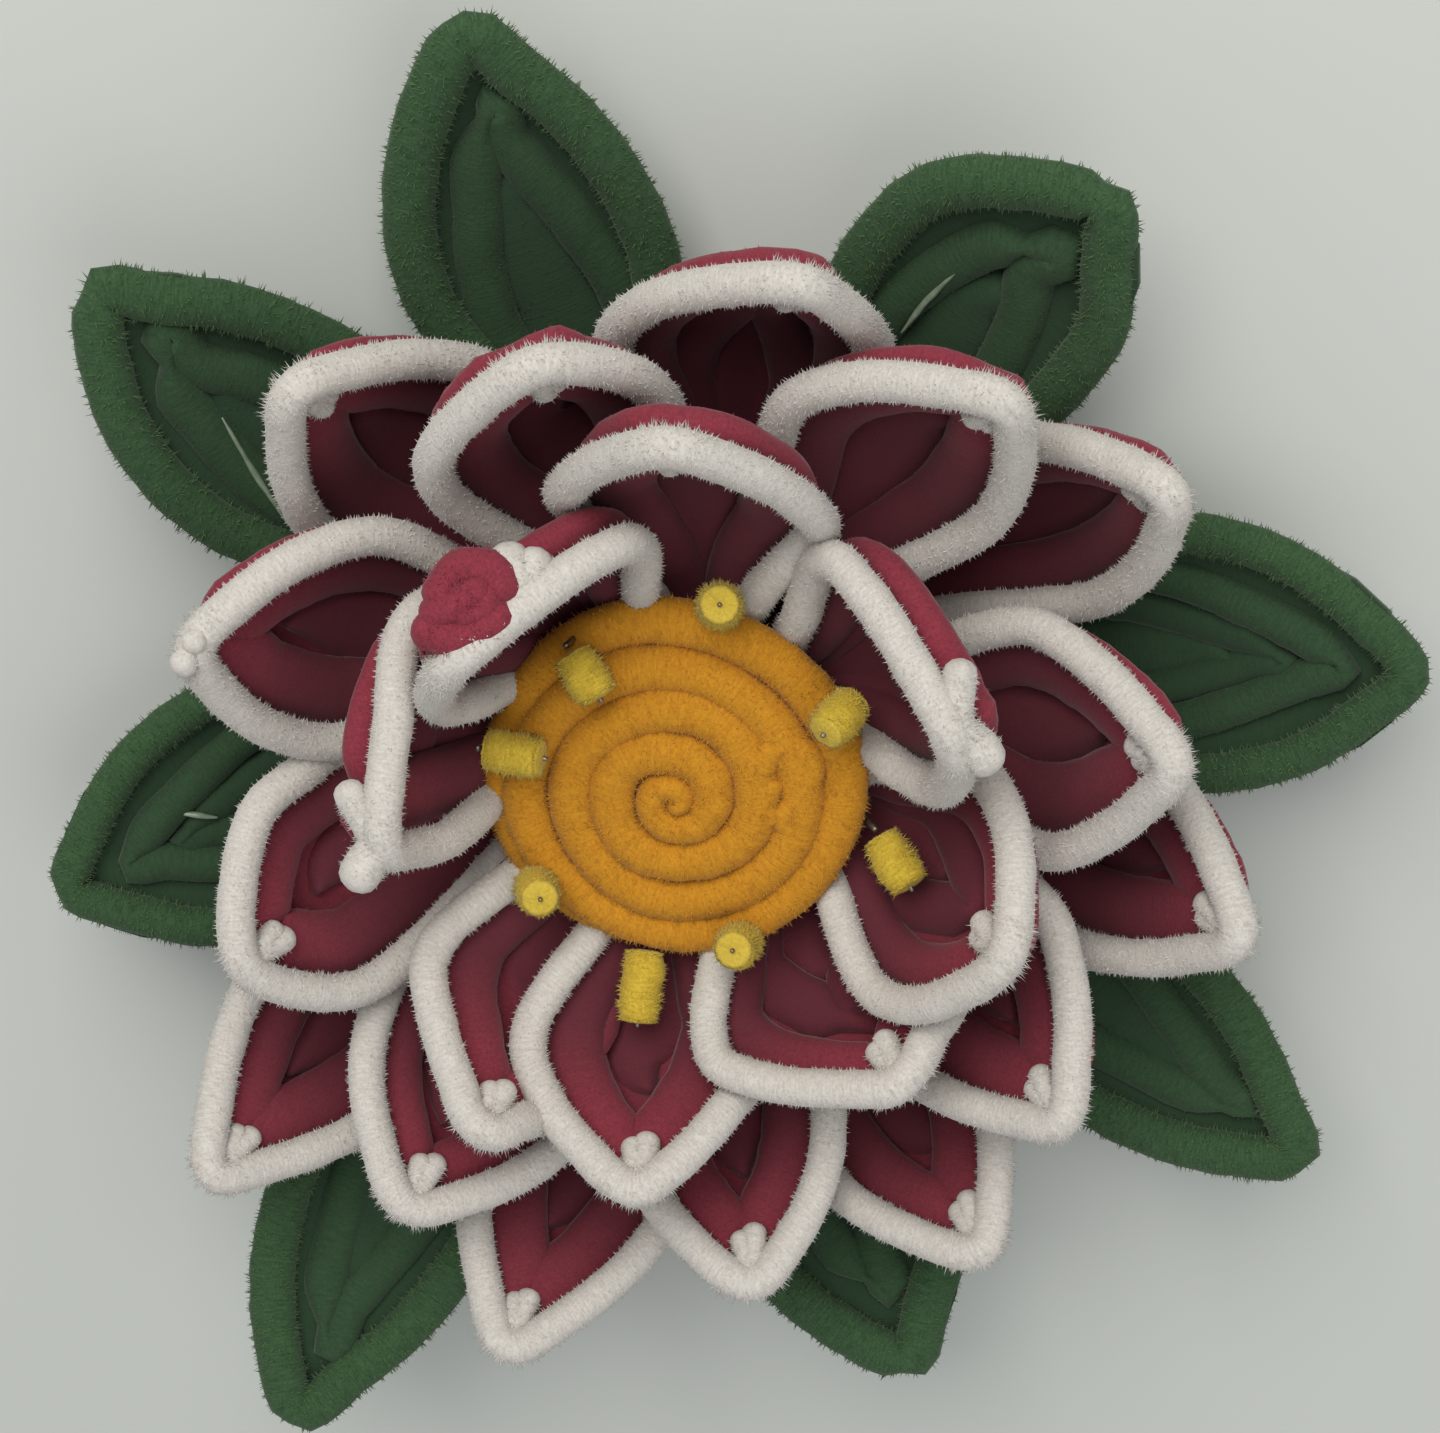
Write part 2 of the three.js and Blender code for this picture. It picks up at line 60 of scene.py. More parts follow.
# One line a petal, the foremost of its ring first: number, swing of the tip, reach, rise, left and right
# half widths, roll, bluntness of the tip, and the kind of its nub
PETALS = {
    "inner": [
        (1, -10, 38.5, 57, 22, 11, 0, 0.6, "out_right"),
        (8, -9, 44, 54, 15, 17, -8, 0.68, "in"),
        (7, 5, 45, 51.5, 15, 20, -20, 0.56, "in"),
        (6, 4, 49, 57, 12, 17, 0, 0.62, "in"),
        (5, 24, 48, 57, 14, 15.5, -3, 0.5, "in"),
        (3, 9, 35, 58, 12, 21, -3, 0.65, "out_top"),
        (4, 11, 35, 56, 5.5, 23.5, 0, 0.63, "out_left"),
        (2, 8, 52, 56, 15, 15.5, -4, 0.6, "in"),
    ],
    "middle": [
        (1, -3, 62, 48.5, 14, 16.5, -7, 0.55, "in"),
        (2, -3, 68.5, 49.5, 17.5, 11, 4, 0.62, "in"),
        (3, 1, 61, 49.5, 18, 11, 10, 0.8, "in"),
        (4, 11, 62.5, 50, 14.5, 15.5, 3, 0.65, "side"),
        (5, 8, 59.5, 51, 12.5, 16, 0, 0.9, "in"),
        (6, 0, 69, 49.5, 16, 16.5, -4, 0.7, "in"),
        (7, -5, 69, 49, 12, 15, -6, 0.73, "in"),
        (8, -7, 64, 49, 15.5, 15.5, 0, 0.59, "in"),
    ],
    "outer": [
        (1, 1, 73, 42.5, 11.5, 13, -2, 0.63, "in"),
        (2, -3, 69.5, 43.5, 20, 13, 6, 0.67, "in"),
        (3, 5, 70, 42.5, 17, 14, 9, 0.6, "in"),
        (5, 6, 84.5, 48, 15, 15, 0, 0.62, "in"),
        (6, -7, 84.5, 49, 17, 13.5, 3, 0.65, "in"),
        (7, -4, 76.5, 43, 9.5, 18, -7, 0.72, "in"),
        (8, -3, 72.5, 43, 14.5, 16, -3, 0.6, "in"),
    ],
    "leaf": [
        (1, -5, 96.5, 25, 20.5, 18.5, -4, 0.68, None),
        (2, -2.5, 93, 30, 21.5, 13, -6, 0.85, None),
        (3, 3, 99.5, 24, 21, 14.5, 5, 0.62, None),
        (4, -7, 99, 27, 22, 12.5, 12, 0.68, None),
        (5, 4, 96, 25, 18.5, 21, 5, 0.67, None),
        (6, 3, 122, 41, 14, 20.5, -2, 0.7, None),
        (7, 5, 102.5, 32, 14.5, 21, -3, 0.76, None),
        (8, -3, 105, 29, 14, 19, -3, 0.66, None),
    ],
}

# Shape of every petal and leaf. A width of None is the petal's own bluntness.
WIDTH_STATIONS = [(0, 0.13), (0.2, 0.3), (0.4, 0.62), (0.64, 1), (0.87, None), (1, 0)]
NARROWEST = 0.05
CUP_SKEW = 1.3
DROP_END = 0.2

# Rims, bowls and leaves
STEM_RADIUS = 2.9
RIM_BODY = 2.5
RIM_STATIONS = [0.25, 0.38, 0.52, 0.66, 0.8, 0.92]
RIM_STEP = 1.4
CREST_REACH = 4.5
# Some petals show the backs of their bowls, which lie further behind the rim
OPEN_DROP = 4.2
BOWL_RADIUS = 2.3
BOWL_FLARE = -0.2
BOWL_TUCK = 1.4
# How strands fill a bowl or leaf: distance between two, how much they overlap, how much deeper each one
# lies, half height, and what is added to it at the edge
BOWL_STRANDS = {"pitch": 5.6, "overlap": 1.5, "sinks": 0.6, "thick": 2.1, "edge": 0.7}
BOWL_END = 0.97
BOWL_TIP_ROOM = 1.9
LEAF_STRANDS = {"pitch": 5.3, "overlap": 1.25, "sinks": 0.45, "thick": 2.5, "edge": 0}
LEAF_END = 0.985
LEAF_TIP_ROOM = 3.0
LEAF_TOOTH = 0.4
RAGGED_LEAF = 4
RAGGED_TOOTH = 0.85
STRAND_SHARES = [0, 0.12, 0.24, 0.36, 0.48, 0.6, 0.72, 0.84, 0.93]
STRAND_STEP = 1.6
STRAND_PINCH = 0.45
# The inner rims run on under the coil
ARM_REACH = 6.0
ARM_SINK = 1.5
# A stem is pressed down behind the petals in front of it, and under the coil
TUCK_MOST = 16.0
TUCK_BACK = 2.3
TUCK_BLUR = 4.0
COIL_PRESS = (22.0, 28.0)
COIL_CLEAR = 0.6
# Streaks of dried glue on some leaves: shares of the length and of the half width
GLUE = {
    2: [[(0.58, 0.32), (0.66, 0.29), (0.74, 0.25)]],
    4: [[(0.72, 0.1), (0.63, 0.35), (0.54, 0.66)]],
    5: [[(0.76, -0.19), (0.71, -0.04)]],
}
GLUE_RISE = 2.1
GLUE_SIZE = (0.7, 0.45)

# Centre
COIL_RADIUS = 26.0
COIL_TURNS = 3.7
COIL_WIDTH = 5.5
COIL_HEIGHT = 6.0
COIL_FLOOR = 30.4
COIL_DOME = 2.6
COIL_END = 100.0
COIL_OFFSET = 1.4
COIL_SAG = 1.2
COIL_CURL = 0.7
COIL_TAIL = 0.42
# Loose ends of stem on the right of the coil: radii, degrees, height above the turns, half width
COIL_SCRAPS = [
    ([12.5, 15, 17.5, 18.5, 17], [24, 31, 27, 16, 7], 1.3, 1.9),
    ([17.5, 16, 14.5, 15.5, 17.5], [6, 0, -6, -14, -20], 1.2, 1.8),
    ([13, 12, 12.5], [12, 2, -10], 1.2, 1.7),
]

# Stamens: turn, reach, height, lean, veer and length of each tuft, two to a wire
STAMENS = [
    [(79, 24, 34.5, 25, 0, 9), (258, 25.5, 34.5, 62, 8, 11)],
    [(127, 24, 38.5, -72, 0, 8), (289, 24.8, 35, -20, 0, 9)],
    [(170, 26.5, 39, -80, 8, 9), (345, 25.5, 34.5, 60, -35, 9)],
    [(219, 26, 35, -20, 0, 9), (31, 26, 37.5, -35, 0, 8)],
]
TUFT_RADIUS = 3.2
TUFT_TRIM = (1.4, 0.5)
TUFT_TAPER = 0.2
CUT_RADIUS = (TUFT_RADIUS - 0.2) * 0.84
WIRE_RADIUS = 0.45
WIRE_BEND = 20.6
HUB_PITCH_RADIUS = 4.4
HUB_STRAND = 2.1
HUB_CORE = 3.4
HUB_HEIGHT = 24.8
HUB_TWIST = 75.0
HUB_STEMS = 8

# Pile: how deep a fibre's foot lies in its stem, how much of the texture map it takes, and the length of
# one turn of the wire. density is in fibres to a square millimetre.
FIBRE_SINK = 0.25
FIBRE_PATCH = 0.35
TWIST_PITCH = 2.2
PILES = {
    "rim": {"density": 1.9, "length": 0.55, "width": 0.14, "tooth": 0.2},
    "crest": {"density": 2.2, "length": 1.15, "width": 0.11, "lean": 0.45},
    "nub": {"density": 2.6, "length": 0.75, "width": 0.13, "lean": 0.45},
    "rosette": {"density": 3.0, "length": 0.7, "width": 0.12, "tooth": 0.3, "lean": 0.4},
    "bowl": {"density": 0.4, "length": 0.25, "width": 0.12},
    "leaf_edge": {"density": 1.9, "length": 0.75, "width": 0.14},
    "leaf": {"density": 0.8, "length": 0.35, "width": 0.12},
    "coil": {"density": 3.0, "length": 0.75, "width": 0.13, "tooth": 0.3, "lean": 0.6},
    "scrap": {"density": 2.4, "length": 0.7, "width": 0.12, "tooth": 0.3, "lean": 0.5},
    "tuft": {"density": 4.2, "length": 0.75, "width": 0.12, "tooth": 0.3, "lean": 0.45},
    "hub": {"density": 1.0, "length": 0.5, "width": 0.17},
}


def seeded(name):
    """A source of random numbers that is the same on every run for the same piece."""
    return np.random.default_rng(zlib.crc32(name.encode()))


def unit(v):
    return v / np.maximum(np.linalg.norm(v, axis=-1, keepdims=True), 1e-12)


def around(degrees, radius, height):
    a = math.radians(degrees)
    return np.array([radius * math.cos(a), radius * math.sin(a), height])


def through_stations(stations, t):
    """Eases between chosen stations, flat at none of them."""
    x = np.array([s[0] for s in stations], float)
    y = np.array([s[1] for s in stations], float)
    before = np.maximum(np.arange(len(x)) - 1, 0)
    after = np.minimum(np.arange(len(x)) + 1, len(x) - 1)
    slope = (y[after] - y[before]) / (x[after] - x[before])
    i = np.clip(np.searchsorted(x, t, side="left") - 1, 0, len(x) - 2)
    span = x[i + 1] - x[i]
    u = (t - x[i]) / span
    return (
        (2 * u**3 - 3 * u**2 + 1) * y[i]
        + (u**3 - 2 * u**2 + u) * span * slope[i]
        + (3 * u**2 - 2 * u**3) * y[i + 1]
        + (u**3 - u**2) * span * slope[i + 1]
    )


def smooth_curve(points, step):
    """A centripetal Catmull-Rom curve through the points, resampled about every step along it."""
    p = np.asarray(points, float)
    p = np.vstack([2 * p[0] - p[1], p, 2 * p[-1] - p[-2]])
    dense = []
    for i in range(1, len(p) - 2):
        x0, x1, x2, x3 = p[i - 1 : i + 3]
        dt0 = max(np.linalg.norm(x1 - x0), 1e-6) ** 0.5
        dt1 = max(np.linalg.norm(x2 - x1), 1e-6) ** 0.5
        dt2 = max(np.linalg.norm(x3 - x2), 1e-6) ** 0.5
        m1 = ((x1 - x0) / dt0 - (x2 - x0) / (dt0 + dt1) + (x2 - x1) / dt1) * dt1
        m2 = ((x2 - x1) / dt1 - (x3 - x1) / (dt1 + dt2) + (x3 - x2) / dt2) * dt1
        u = np.linspace(0, 1, 24, endpoint=False)[:, None]
        dense.append(
            x1
            + m1 * u
            + (-3 * x1 + 3 * x2 - 2 * m1 - m2) * u**2
            + (2 * x1 - 2 * x2 + m1 + m2) * u**3
        )
    dense = np.vstack([*dense, p[-2:-1]])
    run = np.concatenate([[0], np.cumsum(np.linalg.norm(np.diff(dense, axis=0), axis=1))])
    count = max(int(round(run[-1] / step)), 2)
    s = np.linspace(0, run[-1], count + 1)
    return np.stack([np.interp(s, run, dense[:, k]) for k in range(3)], 1)


class Petal:
    """The frame of a petal or leaf: its root, the way to its tip, its left side and its face."""

    def __init__(self, ring_name, row):
        ring = RINGS[ring_name]
        number, swing, reach, rise, left, right, roll, blunt, nub = row
        turn = ring["phase"] + ROOT_STEP * (number - 1)
        self.root = around(turn, ROOT_RADIUS, ring["height"])
        along = around(turn + swing, reach, rise) - self.root
        self.length = np.linalg.norm(along)
        self.along = along / self.length
        side = unit(np.cross([0, 0, 1.0], self.along))
        face = np.cross(self.along, side)
        r = math.radians(roll)
        self.left_way = side * math.cos(r) + face * math.sin(r)
        self.front = face * math.cos(r) - side * math.sin(r)
        self.left = left
        self.right = right
        self.blunt = blunt
        self.bow = ring["bow"]
        self.cup = ring["cup"]
        self.nub = nub
        self.dark = ring["dark"]
        self.drop = OPEN_DROP if nub and nub.startswith("out") else ring["drop"]

    def at(self, t, across, height):
        t, across, height = np.broadcast_arrays(*np.atleast_1d(t, across, height))
        rise = height - self.bow * 4 * t * (1 - t)
        return (
            self.root
            + np.outer(t * self.length, self.along)
            + np.outer(across, self.left_way)
            + np.outer(rise, self.front)
        )

    def width(self, t):
        stations = [(x, self.blunt if y is None else y) for x, y in WIDTH_STATIONS]
        return through_stations(stations, t)

    def within(self, points):
        """Of points: share of the length, distance past the edge, share of the half width, height."""
        rel = points - self.root
        t = rel @ self.along / self.length
        share = np.maximum(self.width(np.clip(t, 0, 1)), NARROWEST)
        half = (self.left + self.right) / 2 * share
        v = (rel @ self.left_way - (self.left - self.right) / 2 * share) / half
        height = rel @ self.front + self.bow * 4 * t * (1 - t)
        return t, (np.abs(v) - 1) * half, v, height

    def floor(self, t, v):
        """Height of the trough's middle surface at a share t of the length and v of the half width."""
        depth = self.cup * np.sin(np.pi * np.clip(t, 0, 1) ** CUP_SKEW)
        return -self.drop * ease(t / DROP_END) - depth * (1 - v * v)


def ease(x):
    x = np.clip(x, 0, 1)
    return x * x * (3 - 2 * x)


def tucked(path, radius, fronts):
    """Presses a line of stem down behind the petals that lie in front of it, and under the coil."""
    shift = np.zeros_like(path)
    for petal in fronts:
        t, past, v, height = petal.within(path)
        near = ease(1 - past / 5.0) * ease((t - 0.1) / 0.15) * ease((1.05 - t) / 0.08)
        back = petal.floor(t, np.clip(v, -1, 1)) - TUCK_BACK
        push = np.clip(height + radius - back, 0, TUCK_MOST) * near
        shift -= push[:, None] * petal.front
    inside, outside = COIL_PRESS
    aside = np.hypot(path[:, 0] + COIL_OFFSET, path[:, 1] + COIL_OFFSET)
    push = np.clip(path[:, 2] + radius - COIL_FLOOR - COIL_CLEAR, 0, TUCK_MOST)
    shift[:, 2] -= push * ease(1 - (aside - inside) / (outside - inside))
    step = np.mean(np.linalg.norm(np.diff(path, axis=0), axis=1))
    reach = max(int(round(TUCK_BLUR / step)), 1)
    weights = np.hanning(2 * reach + 3)[1:-1]
    weights = weights / weights.sum()
    padded = np.pad(shift, ((reach, reach), (0, 0)), mode="edge")
    blurred = [np.convolve(padded[:, k], weights, mode="valid") for k in range(3)]
    return path + np.stack(blurred, 1)


class Stem:
    """A line of stem: centres, frames that don't twist, and a half width and half height."""

    def __init__(self, path, half_width, half_height=None, up=None):
        self.path = np.asarray(path, float)
        n = len(self.path)
        tangent = unit(np.gradient(self.path, axis=0))
        if up is None:
            up = self.carried(tangent)
        up = unit(up - np.sum(up * tangent, 1)[:, None] * tangent)
        self.tangent = tangent
        self.up = up
        self.side = np.cross(tangent, up)
        self.half_width = np.broadcast_to(np.asarray(half_width, float), n).copy()
        if half_height is None:
            self.half_height = self.half_width.copy()
        else:
            self.half_height = np.broadcast_to(np.asarray(half_height, float), n).copy()
        steps = np.linalg.norm(np.diff(self.path, axis=0), axis=1)
        self.run = np.concatenate([[0], np.cumsum(steps)])

    @staticmethod
    def carried(tangent):
        """Carries a first direction along the line with no twist."""
        first = np.cross(tangent[0], [0.31, 0.22, 0.93])
        up = [unit(first)]
        for t in tangent[1:]:
            v = up[-1] - np.dot(up[-1], t) * t
            up.append(unit(v))
        return np.array(up)

    def place(self, s, angle):
        """Centres, outward offsets to the surface and tangents at runs s and angles round the stem."""

        def along(values):
            return np.stack([np.interp(s, self.run, values[:, k]) for k in range(3)], 1)

        across = np.interp(s, self.run, self.half_width) * np.cos(angle)
        rise = np.interp(s, self.run, self.half_height) * np.sin(angle)
        out = unit(along(self.side)) * across[:, None] + unit(along(self.up)) * rise[:, None]
        return along(self.path), out, unit(along(self.tangent))


class Soup:
    """Gathers triangles, with a texture map and fibre values, for one piece."""

    def __init__(self):
        self.points = []
        self.faces = []
        self.maps = []
        self.pile = []
        self.fibre = []
        self.slots = []
        self.shades = []
        self.count = 0
        self.rows = 0
        # Painted shade of what is added next, and the petal whose bowl front gets painted shade towards
        # its root
        self.shade = 0.0
        self.petal = None

    def add(self, points, faces, maps, pile, fibre, slot=0):
        shade = np.full(len(points), self.shade)
        if self.petal:
            # Painted shade: the front of a bowl is darker towards its root; its back is not
            t, _, v, height = self.petal.within(points)
            above = height - self.petal.floor(t, np.clip(v, -1, 1))
            front = ease((above + 0.4) / 1.4) * ease((self.petal.dark - t) / 0.4)
            shade = np.clip(0.45 * shade + front, 0, 1)
        self.shades.append(shade)
        self.points.append(points)
        self.faces.append(faces + self.count)
        self.maps.append(maps)
        self.pile.append(pile)
        self.fibre.append(fibre)
        self.slots.append(np.full(len(faces), slot, np.int32))
        self.count += len(points)

    def mesh(self, name):
        points = np.vstack(self.points) * MM
        # Nothing reaches below the table that the flower lies on
        points[:, 2] = np.maximum(points[:, 2], 0)
        faces = np.vstack(self.faces).astype(np.int32)
        maps = np.vstack(self.maps)
        maps[:, 1] /= max(self.rows, 1)
        me = bpy.data.meshes.new(name)
        me.vertices.add(len(points))
        me.vertices.foreach_set("co", points.astype(np.float32).ravel())
        me.loops.add(faces.size)
        me.loops.foreach_set("vertex_index", faces.ravel())
        me.polygons.add(len(faces))
        me.polygons.foreach_set("loop_start", np.arange(0, faces.size, 3, dtype=np.int32))
        me.polygons.foreach_set("loop_total", np.full(len(faces), 3, np.int32))
        me.polygons.foreach_set("material_index", np.concatenate(self.slots))
        me.polygons.foreach_set("use_smooth", np.ones(len(faces), bool))
        me.update(calc_edges=True)
        layer = me.uv_layers.new(name="OFBake")
        layer.uv.foreach_set("vector", maps.astype(np.float32).ravel())
        pile = me.attributes.new("pile", "FLOAT", "POINT")
        pile.data.foreach_set("value", np.concatenate(self.pile).astype(np.float32))
        shade = me.attributes.new("shade", "FLOAT", "POINT")
        shade.data.foreach_set("value", np.concatenate(self.shades).astype(np.float32))
        fibre = me.attributes.new("fibre", "FLOAT_VECTOR", "POINT")
        fibre.data.foreach_set("vector", np.vstack(self.fibre).astype(np.float32).ravel())
        return me


def add_body(soup, stem, rng, sides, dent=0.0, slot=0, ends=3):
    """The closed core of a stem, with soft dents along it and rounded ends."""
    n = len(stem.path)
    angle = np.arange(sides) / sides * 2 * np.pi
    wave = np.zeros((n, sides))
    for _ in range(5):
        pitch = rng.uniform(3.0, 11.0)
        lobes = rng.integers(0, 3)
        turn = rng.uniform(0, 2 * np.pi)
        wave += np.cos(stem.run[:, None] * 2 * np.pi / pitch + lobes * angle[None] + turn)
    scale = 1 + dent * wave / 5
    ring = (
        stem.side[:, None] * (stem.half_width[:, None] * np.cos(angle))[..., None]
        + stem.up[:, None] * (stem.half_height[:, None] * np.sin(angle))[..., None]
    )
    rings = list(stem.path[:, None] + ring * scale[..., None])
    runs = list(stem.run)
    caps = ([], [])
    for cap, end, way in ((caps[0], 0, -1), (caps[1], -1, 1)):
        round_by = min(stem.half_width[end], stem.half_height[end]) * 0.8
        edge = ring[end] * scale[end][:, None]
        for k in range(1, ends + 1):
            a = k / (ends + 0.35) * np.pi / 2
            centre = stem.path[end] + way * stem.tangent[end] * (math.sin(a) * round_by)
            cap.append(centre + edge * math.cos(a))
    rings = caps[0][::-1] + rings + caps[1]
    runs = [runs[0]] * ends + runs + [runs[-1]] * ends
    m = len(rings)
    points = np.vstack(rings)
    i, j = np.meshgrid(np.arange(m - 1), np.arange(sides), indexing="ij")
    i, j = i.ravel(), j.ravel()
    k = (j + 1) % sides
    a, b, c, d = i * sides + j, i * sides + k, (i + 1) * sides + k, (i + 1) * sides + j
    faces = np.concatenate([np.stack([a, b, c], 1), np.stack([a, c, d], 1)])
    u0, u1 = i / (m - 1), (i + 1) / (m - 1)
    v0 = soup.rows + 0.02 + 0.96 * j / sides
    v1 = soup.rows + 0.02 + 0.96 * (j + 1) / sides
    maps = np.concatenate([
        np.stack([u0, v0, u0, v1, u1, v1], 1).reshape(-1, 2),
        np.stack([u0, v0, u1, v1, u1, v0], 1).reshape(-1, 2),
    ])
    caps = np.arange(1, sides - 1)
    start = np.stack([np.zeros_like(caps), caps + 1, caps], 1)
    end = np.stack([np.zeros_like(caps), caps, caps + 1], 1) + (m - 1) * sides
    cap_u = np.repeat([0.0, 1.0], len(caps) * 3)
    cap_v = np.tile(soup.rows + np.array([0.1, 0.5, 0.9]), 2 * len(caps))
    inward = np.where(cap_u > 0.5, -1, 1)
    cap_u = cap_u + np.tile([0.0, 0.004, 0.0], 2 * len(caps)) * inward
    maps = np.vstack([maps, np.stack([cap_u, cap_v], 1)])
    faces = np.vstack([faces, start, end])
    run = np.repeat(np.array(runs), sides)
    turn = np.tile(angle, m)
    fibre = np.stack([run, turn, np.full(len(run), float(soup.rows))], 1)
    soup.add(points, faces, maps, np.zeros(len(points)), fibre, slot)


def add_fibres(soup, root, way, side, long, width, spot, size, fibre, rng):
    """Three-sided spikes with their open feet sunk in a body."""
    count = len(root)
    across = np.cross(side, unit(way))
    turn = rng.uniform(0, 2 * np.pi, count)
    corners = []
    for k in range(3):
        a = turn + k * 2 * np.pi / 3
        ray = side * np.cos(a)[:, None] + across * np.sin(a)[:, None]
        corners.append(root + ray * width)
    points = np.stack([*corners, root + way * long[:, None]], 1).reshape(-1, 3)
    first = np.arange(count)[:, None] * 4
    faces = np.concatenate([
        first + np.array([[0, 1, 3]]),
        first + np.array([[1, 2, 3]]),
        first + np.array([[2, 0, 3]]),
    ], 1).reshape(-1, 3)
    shape = np.array([[-1, -1], [1, -1], [0, 1]]) * size
    maps = np.repeat(spot[:, None] + shape, 3, axis=0).reshape(-1, 2)
    pile = np.tile([0.25, 0.25, 0.25, 1.0], count)
    soup.add(points, faces, maps, pile, np.repeat(fibre, 4, axis=0))


def add_pile(soup, stem, rng, density, length, width, tooth=0.0, lean=0.28, keep=None):
    """Cut pile that stands out of a stem. tooth gathers it in the rows of the twisted wire."""
    total = stem.run[-1]
    girth = np.pi * (np.mean(stem.half_width) + np.mean(stem.half_height))
    count = int(total * girth * density)
    s = rng.uniform(0, total, count)
    angle = rng.uniform(0, 2 * np.pi, count)
    rows = 0.5 + 0.5 * np.cos(s * 2 * np.pi / TWIST_PITCH - angle)
    if tooth:
        stays = rng.uniform(0, 1, count) < 1 - tooth * (1 - rows)
        s, angle, rows = s[stays], angle[stays], rows[stays]
    centre, out, tangent = stem.place(s, angle)
    if keep is not None:
        stays = keep(centre, out)
        s, angle, rows = s[stays], angle[stays], rows[stays]
        centre, out, tangent = centre[stays], out[stays], tangent[stays]
    count = len(s)
    away = unit(out)
    tilt = rng.normal(0, lean, (count, 2))
    way = unit(away + tangent * tilt[:, :1] + np.cross(tangent, away) * tilt[:, 1:])
    long = length * rng.uniform(0.55, 1.2, count) * (1 + tooth * (rows - 0.5)) + FIBRE_SINK
    size = np.array([FIBRE_PATCH / total, FIBRE_PATCH / girth])
    u = np.clip(s / total, size[0], 1 - size[0])
    v = soup.rows + 0.02 + 0.96 * angle / (2 * np.pi)
    fibre = np.stack([s, angle, rng.uniform(10, 90, count)], 1)
    add_fibres(soup, centre + out - away * FIBRE_SINK, way, tangent, long, width,
               np.stack([u, v], 1), size, fibre, rng)


def add_sheet(soup, petal, half, middle, end, sink, thick):
    """A closed sheet under the strands of a petal or leaf, where they are wound on each other."""
    rows, columns = 20, 15
    t, v = np.meshgrid(np.linspace(0.02, end, rows), np.linspace(-1, 1, columns), indexing="ij")
    t, v = t.ravel(), v.ravel()
    share = petal.width(t)
    across = middle * share + half * share * v * 0.9
    floor = petal.floor(t, v)
    top = petal.at(t, across, floor - sink)
    bottom = petal.at(t, across, floor - sink - thick)
    i, j = np.meshgrid(np.arange(rows - 1), np.arange(columns - 1), indexing="ij")
    a = (i * columns + j).ravel()
    b = a + columns
    grid = np.concatenate([np.stack([a, b, b + 1], 1), np.stack([a, b + 1, a + 1], 1)])
    count = len(t)
    rim = np.concatenate([
        np.arange(columns - 1),
        columns - 1 + columns * np.arange(rows - 1),
        count - 1 - np.arange(columns - 1),
        columns * np.arange(rows - 1, 0, -1),
    ])
    after = np.roll(rim, -1)
    wall = np.concatenate([
        np.stack([rim, after, after + count], 1),
        np.stack([rim, after + count, rim + count], 1),
    ])
    faces = np.vstack([grid, grid[:, ::-1] + count, wall])
    u = np.tile((t - 0.02) / (end - 0.02), 2)
    w = soup.rows + np.concatenate([0.02 + 0.22 * (v + 1), 0.54 + 0.22 * (v + 1)])
    spot = np.stack([u, w], 1)
    maps = spot[faces].reshape(-1, 2)
    fibre = np.stack([t * petal.length, v * 3, np.full(count, 5.0)], 1)
    soup.add(np.vstack([top, bottom]), faces, maps, np.zeros(2 * count), np.tile(fibre, (2, 1)))
    soup.rows += 1


def make_piece(name, soup, materials, node):
    ob = bpy.data.objects.new(name, soup.mesh(name))
    bpy.context.scene.collection.objects.link(ob)
    for m in materials:
        ob.data.materials.append(m)
    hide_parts(node)
    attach(ob, "root")
    return ob


# Materials


